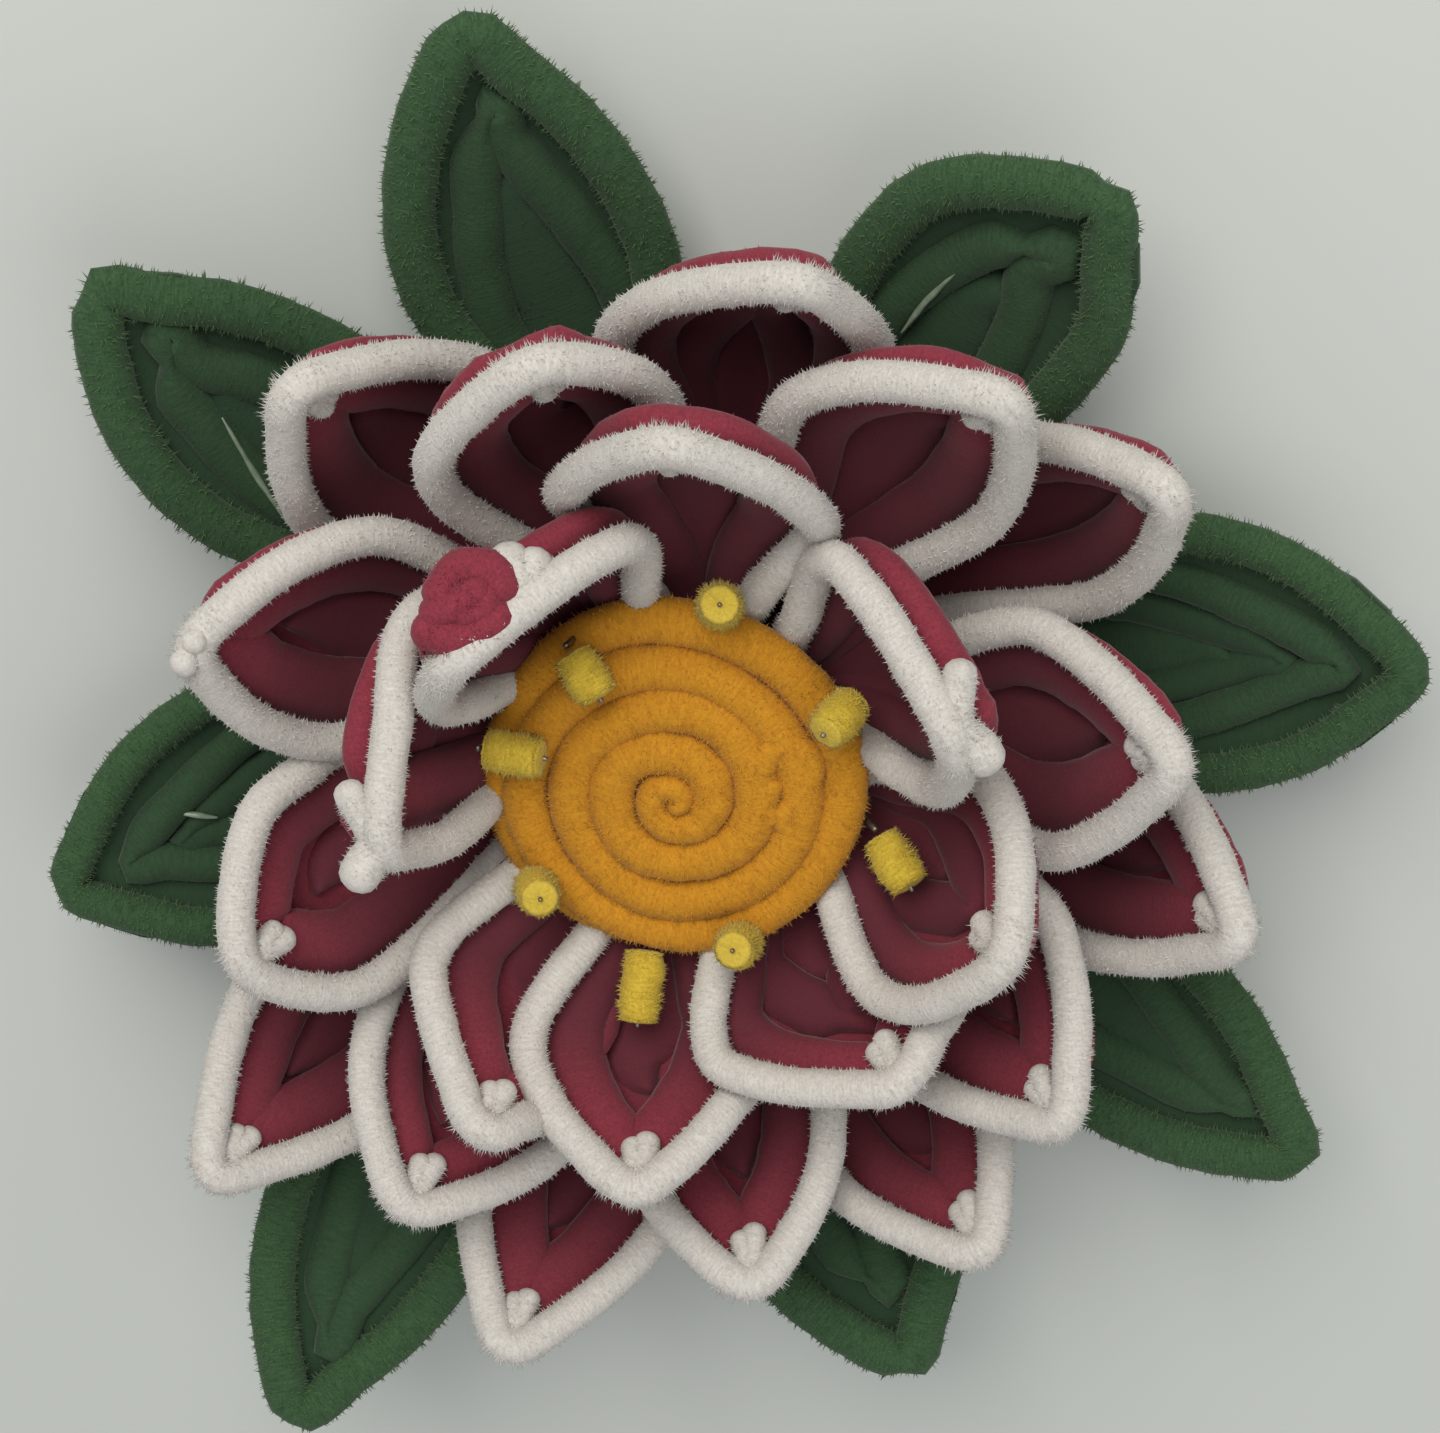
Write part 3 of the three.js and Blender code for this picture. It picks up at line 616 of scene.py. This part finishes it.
def pile_material(name, deep, body, tip, sheen, grain=1.0, painted_shade=None, streak=0.5):
    """Cut pile: darker between the fibres, paler at their ends, with a soft sheen. The fourth colour is
    a painted shade, mixed in by the shade attribute on the deeper strands and sheet, and on bowl fronts
    towards the root."""
    m = bpy.data.materials.new(name)
    m.use_nodes = True
    nodes, links = m.node_tree.nodes, m.node_tree.links
    shader = nodes["Principled BSDF"]
    shader.inputs["Roughness"].default_value = 0.92
    shader.inputs["Specular IOR Level"].default_value = 0.15
    shader.inputs["Sheen Weight"].default_value = sheen
    shader.inputs["Sheen Roughness"].default_value = 0.45
    shader.inputs["Sheen Tint"].default_value = (*[0.5 + 0.5 * c for c in tip], 1)

    place = nodes.new("ShaderNodeTexCoord")
    fibre = nodes.new("ShaderNodeAttribute")
    fibre.attribute_name = "fibre"
    pile = nodes.new("ShaderNodeAttribute")
    pile.attribute_name = "pile"

    grains = nodes.new("ShaderNodeTexNoise")
    grains.inputs["Scale"].default_value = 2600
    grains.inputs["Detail"].default_value = 3
    grains.inputs["Roughness"].default_value = 0.6
    links.new(place.outputs["Object"], grains.inputs["Vector"])
    patches = nodes.new("ShaderNodeTexNoise")
    patches.inputs["Scale"].default_value = 190
    patches.inputs["Detail"].default_value = 4
    links.new(place.outputs["Object"], patches.inputs["Vector"])
    streaks = nodes.new("ShaderNodeTexNoise")
    streaks.inputs["Scale"].default_value = 1.0
    streaks.inputs["Detail"].default_value = 2
    stretch = nodes.new("ShaderNodeVectorMath")
    stretch.operation = "MULTIPLY"
    stretch.inputs[1].default_value = (3.2, 1.3, 7.0)
    links.new(fibre.outputs["Vector"], stretch.inputs[0])
    links.new(stretch.outputs[0], streaks.inputs["Vector"])

    mix = nodes.new("ShaderNodeMath")
    mix.operation = "MULTIPLY_ADD"
    mix.inputs[1].default_value = 1 - streak
    links.new(grains.outputs["Fac"], mix.inputs[0])
    more = nodes.new("ShaderNodeMath")
    more.operation = "MULTIPLY"
    more.inputs[1].default_value = streak
    links.new(streaks.outputs["Fac"], more.inputs[0])
    links.new(more.outputs[0], mix.inputs[2])
    ramp = nodes.new("ShaderNodeMapRange")
    ramp.inputs["From Min"].default_value = 0.32
    ramp.inputs["From Max"].default_value = 0.68
    links.new(mix.outputs[0], ramp.inputs["Value"])
    first = nodes.new("ShaderNodeMix")
    first.data_type = "RGBA"
    first.inputs["A"].default_value = (*deep, 1)
    first.inputs["B"].default_value = (*body, 1)
    links.new(ramp.outputs["Result"], first.inputs["Factor"])
    paler = nodes.new("ShaderNodeMix")
    paler.data_type = "RGBA"
    paler.inputs["B"].default_value = (*tip, 1)
    shade = nodes.new("ShaderNodeMath")
    shade.operation = "MULTIPLY"
    links.new(pile.outputs["Fac"], shade.inputs[0])
    links.new(patches.outputs["Fac"], shade.inputs[1])
    links.new(first.outputs["Result"], paler.inputs["A"])
    links.new(shade.outputs[0], paler.inputs["Factor"])
    # Painted shade: the shade attribute mixes in a darker colour where strands lie deeper in, and on
    # bowl fronts towards the root
    if painted_shade:
        shade = nodes.new("ShaderNodeAttribute")
        shade.attribute_name = "shade"
        less = nodes.new("ShaderNodeMath")
        less.operation = "MULTIPLY"
        less.inputs[1].default_value = 0.8
        darker = nodes.new("ShaderNodeMix")
        darker.data_type = "RGBA"
        darker.inputs["B"].default_value = (*painted_shade, 1)
        links.new(shade.outputs["Fac"], less.inputs[0])
        links.new(less.outputs[0], darker.inputs["Factor"])
        links.new(paler.outputs["Result"], darker.inputs["A"])
        links.new(darker.outputs["Result"], shader.inputs["Base Color"])
    else:
        links.new(paler.outputs["Result"], shader.inputs["Base Color"])

    bump = nodes.new("ShaderNodeBump")
    bump.inputs["Strength"].default_value = 0.55 * grain
    bump.inputs["Distance"].default_value = 0.0003
    links.new(mix.outputs[0], bump.inputs["Height"])
    links.new(bump.outputs["Normal"], shader.inputs["Normal"])
    return m


def speckled_material(name, scale, dark, light, roughness, metallic=0.0):
    """A hard surface with fine speckles."""
    m = bpy.data.materials.new(name)
    m.use_nodes = True
    nodes, links = m.node_tree.nodes, m.node_tree.links
    shader = nodes["Principled BSDF"]
    shader.inputs["Metallic"].default_value = metallic
    place = nodes.new("ShaderNodeTexCoord")
    noise = nodes.new("ShaderNodeTexNoise")
    noise.inputs["Scale"].default_value = scale
    links.new(place.outputs["Object"], noise.inputs["Vector"])
    tone = nodes.new("ShaderNodeValToRGB")
    tone.color_ramp.elements[0].color = (*dark, 1)
    tone.color_ramp.elements[1].color = (*light, 1)
    links.new(noise.outputs["Fac"], tone.inputs["Fac"])
    links.new(tone.outputs["Color"], shader.inputs["Base Color"])
    rough = nodes.new("ShaderNodeMapRange")
    rough.inputs["To Min"].default_value = roughness[0]
    rough.inputs["To Max"].default_value = roughness[1]
    links.new(noise.outputs["Fac"], rough.inputs["Value"])
    links.new(rough.outputs["Result"], shader.inputs["Roughness"])
    return m


WHITE = pile_material(
    "white_pile", deep=(0.42, 0.39, 0.35), body=(0.61, 0.58, 0.53), tip=(0.72, 0.69, 0.645),
    sheen=0.2, grain=0.7)
# The last colour of the crimson and the green pile is painted shade for their deeper strands
CRIMSON = pile_material(
    "crimson_pile", deep=(0.15, 0.022, 0.034), body=(0.26, 0.037, 0.055), tip=(0.36, 0.07, 0.095),
    sheen=0.22, grain=0.5, painted_shade=(0.075, 0.019, 0.026), streak=0.3)
GREEN = pile_material(
    "green_pile", deep=(0.02, 0.046, 0.021), body=(0.048, 0.1, 0.042), tip=(0.15, 0.25, 0.09),
    sheen=0.22, grain=0.8, painted_shade=(0.022, 0.045, 0.024))
GOLD = pile_material(
    "gold_pile", deep=(0.38, 0.155, 0.01), body=(0.56, 0.255, 0.018), tip=(0.68, 0.36, 0.04),
    sheen=0.2, grain=0.9)
LEMON = pile_material(
    "lemon_pile", deep=(0.38, 0.24, 0.02), body=(0.6, 0.44, 0.05), tip=(0.7, 0.56, 0.12), sheen=0.2)
WIRE = speckled_material(
    "steel_wire", 900, (0.12, 0.1, 0.08), (0.42, 0.38, 0.32), roughness=(0.35, 0.6), metallic=1.0)
GLUE_DROP = speckled_material(
    "dried_glue", 700, (0.08, 0.13, 0.07), (0.32, 0.37, 0.28), roughness=(0.12, 0.35))


# Petals and leaves


def slice_of(stem, middle, reach):
    """The stretch of a stem within reach of a run along it."""
    near = np.abs(stem.run - middle) <= reach
    return Stem(stem.path[near], stem.half_width[near], stem.half_height[near], up=stem.up[near])


# A nub: where its lobes start, and where each ends with its radius. Places are past the tip, to the left
# and above the rim
NUBS = {
    "in": [(0, 0, 0), (-6.4, 0.8, -0.4, 1.7), (-5.6, -0.9, -0.5, 1.6)],
    "side": [(0, 0, 0), (1.6, 1.6, 1.2, 1.8), (0.9, -1.6, 1.2, 1.6)],
    "out_right": [(-0.5, 1.5, -1), (0.8, -3.7, -3.0, 2.6), (0.2, 7.0, -4.6, 2.1)],
    "out_left": [(0, 0, -1), (3.2, 3.2, -2.9, 2.6), (1.4, -6.9, -4.2, 2.0)],
    "out_top": [(-4.1, -10.3, -1), (-2.9, -11.6, -6.0, 2.6), (-5.0, -13.6, -3.6, 2.3)],
}


def add_nub(soup, petal, rng):
    """The two ends of a rim stem, twisted together at the tip of the petal."""
    start, *lobes = NUBS[petal.nub]
    foot = petal.at(1 + start[0] / petal.length, start[1], start[2])[0]
    for past, across, above, radius in lobes:
        end = petal.at(1 + past / petal.length, across, above)[0]
        nub = Stem(smooth_curve(np.vstack([foot, (foot + end) / 2, end]), 0.7), radius)
        add_body(soup, nub, rng, sides=14, dent=0.1)
        add_pile(soup, nub, rng, **PILES["nub"])
        soup.rows += 1


# The ends of one bowl's stems are curled up behind its rim. The centre is in the petal's frame, and the
# lines of the lumps, seen from the front, go to the right, up and forwards. Each has its radius.
ROSETTE_PLACE = (0.0, -6.3, -4.6)
ROSETTE_LUMPS = [
    ([(-3.6, 0.6, 0.0), (-1.8, 3.2, 0.3), (1.6, 3.9, 0.3), (3.9, 1.6, 0.0)], 2.5),
    ([(-5.2, -3.4, -0.2), (-2.4, -4.3, 0.2), (0.8, -3.9, 0.2), (3.2, -1.6, 0.0)], 2.5),
    ([(-4.4, -1.6, 0.5), (-1.6, -0.4, 1.2), (0.9, 0.9, 1.1)], 2.2),
    ([(-0.9, -1.7, 0.9), (1.6, -0.8, 1.2), (2.2, 1.2, 0.7)], 1.9),
]
ROSETTE_FACE = (0.1, 0.42, 0.9)


def add_rosette(soup, petal, rng):
    past, across, above = ROSETTE_PLACE
    centre = petal.at(1 + past / petal.length, across, above)[0]
    face = unit(np.array(ROSETTE_FACE))
    right = unit(np.cross([0.0, 1.0, 0.0], face))
    up = np.cross(face, right)
    for line, radius in ROSETTE_LUMPS:
        points = [centre + right * x + up * y + face * z for x, y, z in line]
        lump = Stem(smooth_curve(points, 0.8), radius)
        add_body(soup, lump, rng, sides=14, dent=0.22)
        add_pile(soup, lump, rng, **PILES["rosette"])
        soup.rows += 1


def rim_piece(ring_name, row, fronts):
    petal = Petal(ring_name, row)
    node = f"{ring_name}_rim_{row[0]}"
    rng = seeded(node)
    t = np.array(RIM_STATIONS)
    up_side = petal.at(t, petal.left * petal.width(t), 0)
    tip = petal.at(1, 0, 0)
    down_side = petal.at(t[::-1], -petal.right * petal.width(t[::-1]), 0)
    path = smooth_curve(np.vstack([up_side, tip, down_side]), RIM_STEP)
    path = tucked(path, STEM_RADIUS, fronts)
    if ring_name == "inner":
        ends = []
        for end in path[[0, -1]]:
            ends.append(end * (1 - ARM_REACH / np.hypot(end[0], end[1])) - [0, 0, ARM_SINK])
        path = smooth_curve(np.vstack([ends[0], path[::3], path[-1], ends[1]]), RIM_STEP)
    soup = Soup()
    stem = Stem(path, RIM_BODY)
    add_body(soup, stem, rng, sides=16, dent=0.045)
    add_pile(soup, stem, rng, **PILES["rim"])

    def outermost(centre, out):
        return out @ petal.along > 0.6

    crest = stem.run[np.argmin(np.linalg.norm(path - tip, axis=1))]
    add_pile(soup, slice_of(stem, crest, CREST_REACH), rng, keep=outermost, **PILES["crest"])
    soup.rows += 1
    add_nub(soup, petal, rng)
    return make_piece(node + "_stem", soup, [WHITE], node)


def loops_of(petal, half, middle, end, tip_room, pitch, overlap, sinks, thick, edge):
    """Nested loops of stem that fill a petal or leaf from its edge, and one strand along its middle."""
    count = max(int(round(half / pitch)), 2)
    step = half / count
    strands = []
    tau = np.array(STRAND_SHARES)
    for k in range(count):
        top = end - (tip_room + 1.6 * k * step) / petal.length
        t = tau * top
        centre = middle * petal.width(t)
        lower = sinks * k
        if k < count - 1:
            left = half - (k + 0.5) * step
            pinch = STRAND_PINCH if k else 0.0
            share = petal.width(tau) * (1 - pinch * ease((tau - 0.55) / 0.45))
            floor = petal.floor(t, left / half) - lower
            one = petal.at(t, centre + left * share, floor)
            two = petal.at(t[::-1], centre[::-1] - left * share[::-1], floor[::-1])
            tip = petal.at(top, 0, petal.floor(np.array([top]), 0.6) - lower)
            path = smooth_curve(np.vstack([one, tip, two]), STRAND_STEP)
            width = step / 2 * overlap
        else:
            floor = petal.floor(t, 0.0) - lower
            tip = petal.at(top, 0, petal.floor(np.array([top]), 0.3) - lower)
            path = smooth_curve(np.vstack([petal.at(t, centre, floor), tip]), STRAND_STEP)
            width = step * 0.5 * (1 + overlap)
        reach = np.clip((path - petal.root) @ petal.along / petal.length, 0, 1)
        slim = np.clip(0.45 + reach / 0.36 * 0.55, 0.45, 1)
        width = width * slim
        if k < count - 1:
            aside = np.abs((path - petal.root) @ petal.left_way - middle * petal.width(reach))
            width = np.minimum(width, aside + (1.2 if k else 2.4))
        else:
            width = np.minimum(width, 0.9 + 0.9 * np.linalg.norm(path - path[-1], axis=1) ** 0.8)
        height = (thick + edge if k == 0 else thick) * (0.6 + 0.4 * slim)
        strands.append(Stem(path, width, height, up=np.broadcast_to(petal.front, path.shape)))
    return strands


def bowl_piece(ring_name, row, fronts):
    petal = Petal(ring_name, row)
    node = f"{ring_name}_petal_{row[0]}"
    rng = seeded(node)
    half = (petal.left + petal.right) / 2 + BOWL_FLARE - BOWL_TUCK
    middle = (petal.left - petal.right) / 2
    soup = Soup()
    soup.petal = petal
    strands = loops_of(petal, half, middle, BOWL_END, BOWL_TIP_ROOM, **BOWL_STRANDS)
    for k, stem in enumerate(strands):
        path = tucked(stem.path, BOWL_RADIUS, fronts)
        stem = Stem(path, stem.half_width, stem.half_height, up=stem.up)
        # Painted shade: every strand but the outermost is painted dark, as in the bowl's shade
        soup.shade = min(k, 1.0)
        add_body(soup, stem, rng, sides=14, dent=0.04)
        if k == 0:
            add_pile(soup, stem, rng, **PILES["bowl"])
        soup.rows += 1
    # The sheet under the strands is painted fully in shade
    soup.shade = 1.0
    add_sheet(soup, petal, half + BOWL_TUCK, middle, end=0.9, sink=0.5, thick=1.6)
    if petal.nub == "out_top":
        soup.petal = None
        soup.shade = 0.0
        add_rosette(soup, petal, rng)
    return make_piece(node + "_bowl", soup, [CRIMSON], node)


def leaf_piece(row):
    petal = Petal("leaf", row)
    node = f"leaf_{row[0]}"
    rng = seeded(node)
    half = (petal.left + petal.right) / 2
    middle = (petal.left - petal.right) / 2
    soup = Soup()
    tooth = RAGGED_TOOTH if row[0] == RAGGED_LEAF else LEAF_TOOTH

    def front_side(centre, out):
        return out @ petal.front > 0

    strands = loops_of(petal, half, middle, LEAF_END, LEAF_TIP_ROOM, **LEAF_STRANDS)
    for k, stem in enumerate(strands):
        stem.half_width = np.maximum(stem.half_width - 0.3, 0.8)
        # Painted shade: the inner strands are painted darker, the more so the deeper in
        soup.shade = min(0.6 * k, 1.0)
        add_body(soup, stem, rng, sides=14, dent=0.06)
        if k == 0:
            add_pile(soup, stem, rng, tooth=tooth, **PILES["leaf_edge"])
        else:
            add_pile(soup, stem, rng, keep=front_side, **PILES["leaf"])
        soup.rows += 1
    # The sheet under the strands is painted fully in shade
    soup.shade = 1.0
    add_sheet(soup, petal, half, middle, end=0.93, sink=0.2, thick=1.6)
    for line in GLUE.get(row[0], []):
        t, v = np.array(line).T
        across = middle * petal.width(t) + half * petal.width(t) * v
        path = smooth_curve(petal.at(t, across, petal.floor(t, v) + GLUE_RISE), 0.8)
        swell = np.sin(np.linspace(0.06, 0.94, len(path)) * np.pi) ** 0.7
        streak = Stem(path, GLUE_SIZE[0] * swell, GLUE_SIZE[1] * swell)
        add_body(soup, streak, rng, sides=8, dent=0.3, slot=1)
        soup.rows += 1
    return make_piece(node + "_loops", soup, [GREEN, GLUE_DROP], node)


# Centre, stamens and hub


def coil_point(radius, degrees, rise):
    """A point on the middle line of the coil's dome, on the spiral's own axis."""
    radius, degrees, rise = np.broadcast_arrays(*np.atleast_1d(radius, degrees, rise))
    angle = np.radians(degrees)
    outer = COIL_RADIUS - COIL_WIDTH / 2
    height = COIL_FLOOR + COIL_HEIGHT / 2 + COIL_DOME * (1 - (radius / outer) ** 2) + rise
    return np.stack([
        radius * np.cos(angle) - COIL_OFFSET,
        radius * np.sin(angle) - COIL_OFFSET - COIL_SAG,
        height,
    ], 1)


def centre_piece():
    rng = seeded("flower_centre")
    outer = COIL_RADIUS - COIL_WIDTH / 2
    inner = outer - COIL_TURNS * COIL_WIDTH
    last = COIL_TURNS + COIL_TAIL
    turns = np.linspace(-COIL_CURL, last, 340)
    radius = np.interp(turns, [-COIL_CURL, 0, COIL_TURNS, last], [0.7, inner, outer, outer - 0.4])
    angle = COIL_END - (COIL_TURNS - turns) * 360
    wander = 0.3 * np.sin(turns * 9.1) + 0.2 * np.sin(turns * 23.7 + 1)
    under = np.interp(turns, [COIL_TURNS - 0.05, last], [0, -2.2])
    path = coil_point(radius + wander * np.clip(turns, 0, 1), angle, under)
    width = COIL_WIDTH / 2 * np.interp(
        turns, [-COIL_CURL, 0.2, 0.6, COIL_TURNS, last], [0.62, 0.9, 1.16, 1.16, 0.8])

    def upper(centre, out):
        return out[:, 2] > -0.6

    soup = Soup()
    stem = Stem(path, width, COIL_HEIGHT / 2 - 0.25, up=np.broadcast_to([0, 0, 1.0], path.shape))
    add_body(soup, stem, rng, sides=18, dent=0.06)
    add_pile(soup, stem, rng, keep=upper, **PILES["coil"])
    soup.rows += 1
    for radii, degrees, rise, size in COIL_SCRAPS:
        line = smooth_curve(coil_point(np.array(radii), np.array(degrees), rise), 0.9)
        scrap = Stem(line, size, size * 0.8, up=np.broadcast_to([0, 0, 1.0], line.shape))
        add_body(soup, scrap, rng, sides=12, dent=0.12)
        add_pile(soup, scrap, rng, keep=upper, **PILES["scrap"])
        soup.rows += 1
    return make_piece("flower_centre_coil", soup, [GOLD], "flower_centre")


def tuft_line(row):
    turn, reach, height, lean, veer, length = row
    foot = around(turn, reach, height)
    a = math.radians(lean)
    way = around(turn + veer, math.sin(a), math.cos(a))
    return foot, foot + way * length


def add_cut_end(soup, centre, normal, side, radius, rng):
    """The cut end of a stem: fibres in rays from the wire."""
    up = np.cross(normal, side)
    sides, rings = 28, 5
    angle = np.arange(sides) / sides * 2 * np.pi
    share = np.linspace(1, 0.12, rings)
    ray = side * np.cos(angle)[:, None] + up * np.sin(angle)[:, None]
    points, fibre = [], []
    for k in range(rings):
        height = 0.35 * (1 - share[k] ** 2) + rng.uniform(-0.12, 0.12, sides) * (share[k] > 0.3)
        points.append(centre + ray * radius * share[k] + normal * height[:, None])
        fibre.append(np.stack([np.full(sides, share[k] * 0.4), angle * 9, np.full(sides, 3.0)], 1))
    i, j = np.meshgrid(np.arange(rings - 1), np.arange(sides), indexing="ij")
    i, j = i.ravel(), j.ravel()
    k = (j + 1) % sides
    a, b, c, d = i * sides + j, i * sides + k, (i + 1) * sides + k, (i + 1) * sides + j
    faces = np.concatenate([np.stack([a, b, c], 1), np.stack([a, c, d], 1)])
    caps = np.arange(1, sides - 1)
    last = (rings - 1) * sides
    faces = np.vstack([faces, np.stack([0 * caps, caps, caps + 1], 1) + last])
    # The back of the disc lies inside the stem
    count = rings * sides
    points.append((centre - normal * 0.6)[None])
    fibre.append(np.array([[0.0, 0.0, 3.0]]))
    j = np.arange(sides)
    faces = np.vstack([faces, np.stack([(j + 1) % sides, j, np.full(sides, count)], 1)])
    points, fibre = np.vstack(points), np.vstack(fibre)
    flat = np.stack([(points - centre) @ side, (points - centre) @ up], 1) / radius
    spot = np.stack([0.5 + 0.46 * flat[:, 0], soup.rows + 0.5 + 0.46 * flat[:, 1]], 1)
    soup.add(points, faces, spot[faces].reshape(-1, 2), np.full(len(points), 0.35), fibre)
    count = int(radius * radius * 16)
    angle = rng.uniform(0, 2 * np.pi, count)
    far = np.sqrt(rng.uniform(0.02, 1.0, count))
    ray = side * np.cos(angle)[:, None] + up * np.sin(angle)[:, None]
    spread = 0.2 + 0.8 * far ** 3
    way = unit(normal + ray * spread[:, None] + rng.normal(0, 0.18, (count, 3)))
    spot = np.stack([0.5 + 0.4 * far * np.cos(angle), 0.5 + 0.4 * far * np.sin(angle)], 1)
    spot[:, 1] += soup.rows
    fibre = np.stack([far, angle * 9, rng.uniform(10, 90, count)], 1)
    long = rng.uniform(0.3, 0.6, count) * (1 - 0.35 * far) + FIBRE_SINK
    foot = centre + ray * (far * radius)[:, None] - normal * FIBRE_SINK
    add_fibres(soup, foot, way, unit(np.cross(way, ray)), long, 0.12, spot, 0.03, fibre, rng)
    soup.rows += 1


def stamen_piece(level, pair):
    node = f"stamen_pair_{level + 1}"
    rng = seeded(node)
    soup = Soup()
    for row in pair:
        foot, tip = tuft_line(row)
        whole = tip - foot
        foot = foot + whole * TUFT_TRIM[0] / row[5]
        tip = tip - whole * TUFT_TRIM[1] / row[5]
        line = smooth_curve(np.vstack([foot, (foot + tip) / 2, tip]), 0.8)
        along = np.abs(np.linspace(-1, 1, len(line)))
        tuft = Stem(line, (TUFT_RADIUS - 0.4) * (1 - TUFT_TAPER * along ** 3))
        add_body(soup, tuft, rng, sides=18, dent=0.14, ends=0)
        add_pile(soup, tuft, rng, **PILES["tuft"])
        soup.rows += 1
        way = tuft.tangent[-1]
        for end, normal in ((tip, way), (foot, -way)):
            add_cut_end(soup, end, normal, tuft.side[-1], CUT_RADIUS, rng)
        dot = Stem(np.linspace(tip - way, tip + way * 0.75, 4), WIRE_RADIUS * 0.7)
        add_body(soup, dot, rng, sides=8, slot=1, ends=1)
        soup.rows += 1
    height = HUB_HEIGHT + 0.35 + WIRE_RADIUS + level * (2 * WIRE_RADIUS + 0.3)
    knots = [
        tuft_line(pair[0])[0],
        around(pair[0][0], WIRE_BEND, height),
        np.array([0, 0, height]),
        around(pair[1][0], WIRE_BEND, height),
        tuft_line(pair[1])[0],
    ]
    wire = Stem(smooth_curve(np.vstack(knots), 1.2), WIRE_RADIUS)
    add_body(soup, wire, rng, sides=8, slot=1)
    soup.rows += 1
    return make_piece(node + "_tufts", soup, [LEMON, WIRE], node)


def hub_piece():
    rng = seeded("wire_hub")
    soup = Soup()
    steps = np.linspace(0, 1, 24)
    for k in range(HUB_STEMS):
        angle = np.radians(k * 360 / HUB_STEMS + HUB_TWIST * steps)
        x, y = HUB_PITCH_RADIUS * np.cos(angle), HUB_PITCH_RADIUS * np.sin(angle)
        stem = Stem(np.stack([x, y, 1.6 + (HUB_HEIGHT - 3.4) * steps], 1), HUB_STRAND)
        add_body(soup, stem, rng, sides=10, dent=0.08)
        add_pile(soup, stem, rng, **PILES["hub"])
        soup.rows += 1
    core = Stem(np.stack([0 * steps, 0 * steps, 2.5 + (HUB_HEIGHT - 5) * steps], 1), HUB_CORE)
    add_body(soup, core, rng, sides=10)
    soup.rows += 1
    return make_piece("wire_hub_tails", soup, [GREEN], "wire_hub")


# The petals of a ring come in the order in which they lie on each other, the foremost first
for ring_name in ("inner", "middle", "outer"):
    fronts = []
    for row in PETALS[ring_name]:
        rim_piece(ring_name, row, fronts)
        bowl_piece(ring_name, row, fronts)
        fronts.append(Petal(ring_name, row))
for row in PETALS["leaf"]:
    leaf_piece(row)
centre_piece()
for level, pair in enumerate(STAMENS):
    stamen_piece(level, pair)
hub_piece()


# Floor, light and camera


FLOOR_HALF = 3.0
FLOOR_LEVEL = -0.0005


def floor_material():
    m = bpy.data.materials.new("pale_floor")
    m.use_nodes = True
    shader = m.node_tree.nodes["Principled BSDF"]
    shader.inputs["Base Color"].default_value = (0.5, 0.52, 0.485, 1)
    shader.inputs["Roughness"].default_value = 0.9
    shader.inputs["Specular IOR Level"].default_value = 0.1
    return m


def make_floor():
    me = bpy.data.meshes.new("floor")
    r = FLOOR_HALF
    corners = [(-r, -r), (r, -r), (r, r), (-r, r)]
    me.from_pydata([(x, y, FLOOR_LEVEL) for x, y in corners], [], [(0, 1, 2, 3)])
    me.materials.append(floor_material())
    floor = bpy.data.objects.new("floor", me)
    bpy.context.scene.collection.objects.link(floor)


def area_light(name, place, aim, size, power, color=(1, 1, 1)):
    light = bpy.data.lights.new(name, "AREA")
    light.energy = power
    light.size = size
    light.color = color
    ob = bpy.data.objects.new(name, light)
    ob.location = place
    ob.rotation_mode = "QUATERNION"
    ob.rotation_quaternion = (Vector(aim) - Vector(place)).to_track_quat("-Z", "Y")
    bpy.context.scene.collection.objects.link(ob)


def make_light():
    world = bpy.data.worlds.new("studio")
    world.use_nodes = True
    back = world.node_tree.nodes["Background"]
    back.inputs["Color"].default_value = (0.93, 0.96, 1.0, 1)
    back.inputs["Strength"].default_value = 0.44
    bpy.context.scene.world = world
    area_light("key", (-0.1, 0.7, 0.75), (0, 0, 0.03), 0.7, 9.0, (1.0, 0.98, 0.95))
    area_light("fill", (0.5, -0.2, 0.9), (0, 0, 0.03), 0.9, 3.0)


# The camera stands over the flower as in the photograph, 25 degrees towards +Y and 6 towards +X
CAMERA_TILT_Y = 25.0
CAMERA_TILT_X = 6.0
CAMERA_DISTANCE = 360.0
AIM = np.array([0.0, 0.0, 37.0])
AIM_PIXEL = (683.0, 783.0)
PICTURE = (1440.0, 1433.0)
MM_PER_PIXEL = 0.128
SENSOR = 36.0


def make_camera():
    tilt = [math.tan(math.radians(a)) for a in (CAMERA_TILT_X, CAMERA_TILT_Y)]
    d = unit(np.array([*tilt, 1.0]))
    up = unit(np.array([0, 1.0, 0]) - d[1] * d)
    right = np.cross(up, d)
    shift_right = (PICTURE[0] / 2 - AIM_PIXEL[0]) * MM_PER_PIXEL
    shift_up = (AIM_PIXEL[1] - PICTURE[1] / 2) * MM_PER_PIXEL
    place = AIM + d * CAMERA_DISTANCE + right * shift_right + up * shift_up
    data = bpy.data.cameras.new("camera")
    data.sensor_width = SENSOR
    data.sensor_fit = "HORIZONTAL"
    data.lens = SENSOR * CAMERA_DISTANCE / (PICTURE[0] * MM_PER_PIXEL)
    data.clip_start = 0.01
    data.clip_end = 20
    camera = bpy.data.objects.new("camera", data)
    turn = np.eye(4)
    turn[:3, 0], turn[:3, 1], turn[:3, 2] = right, up, d
    turn[:3, 3] = place * MM
    camera.matrix_world = Matrix(turn.tolist())
    bpy.context.scene.collection.objects.link(camera)
    bpy.context.scene.camera = camera


make_floor()
make_light()
make_camera()
bpy.context.scene.view_settings.view_transform = "Standard"
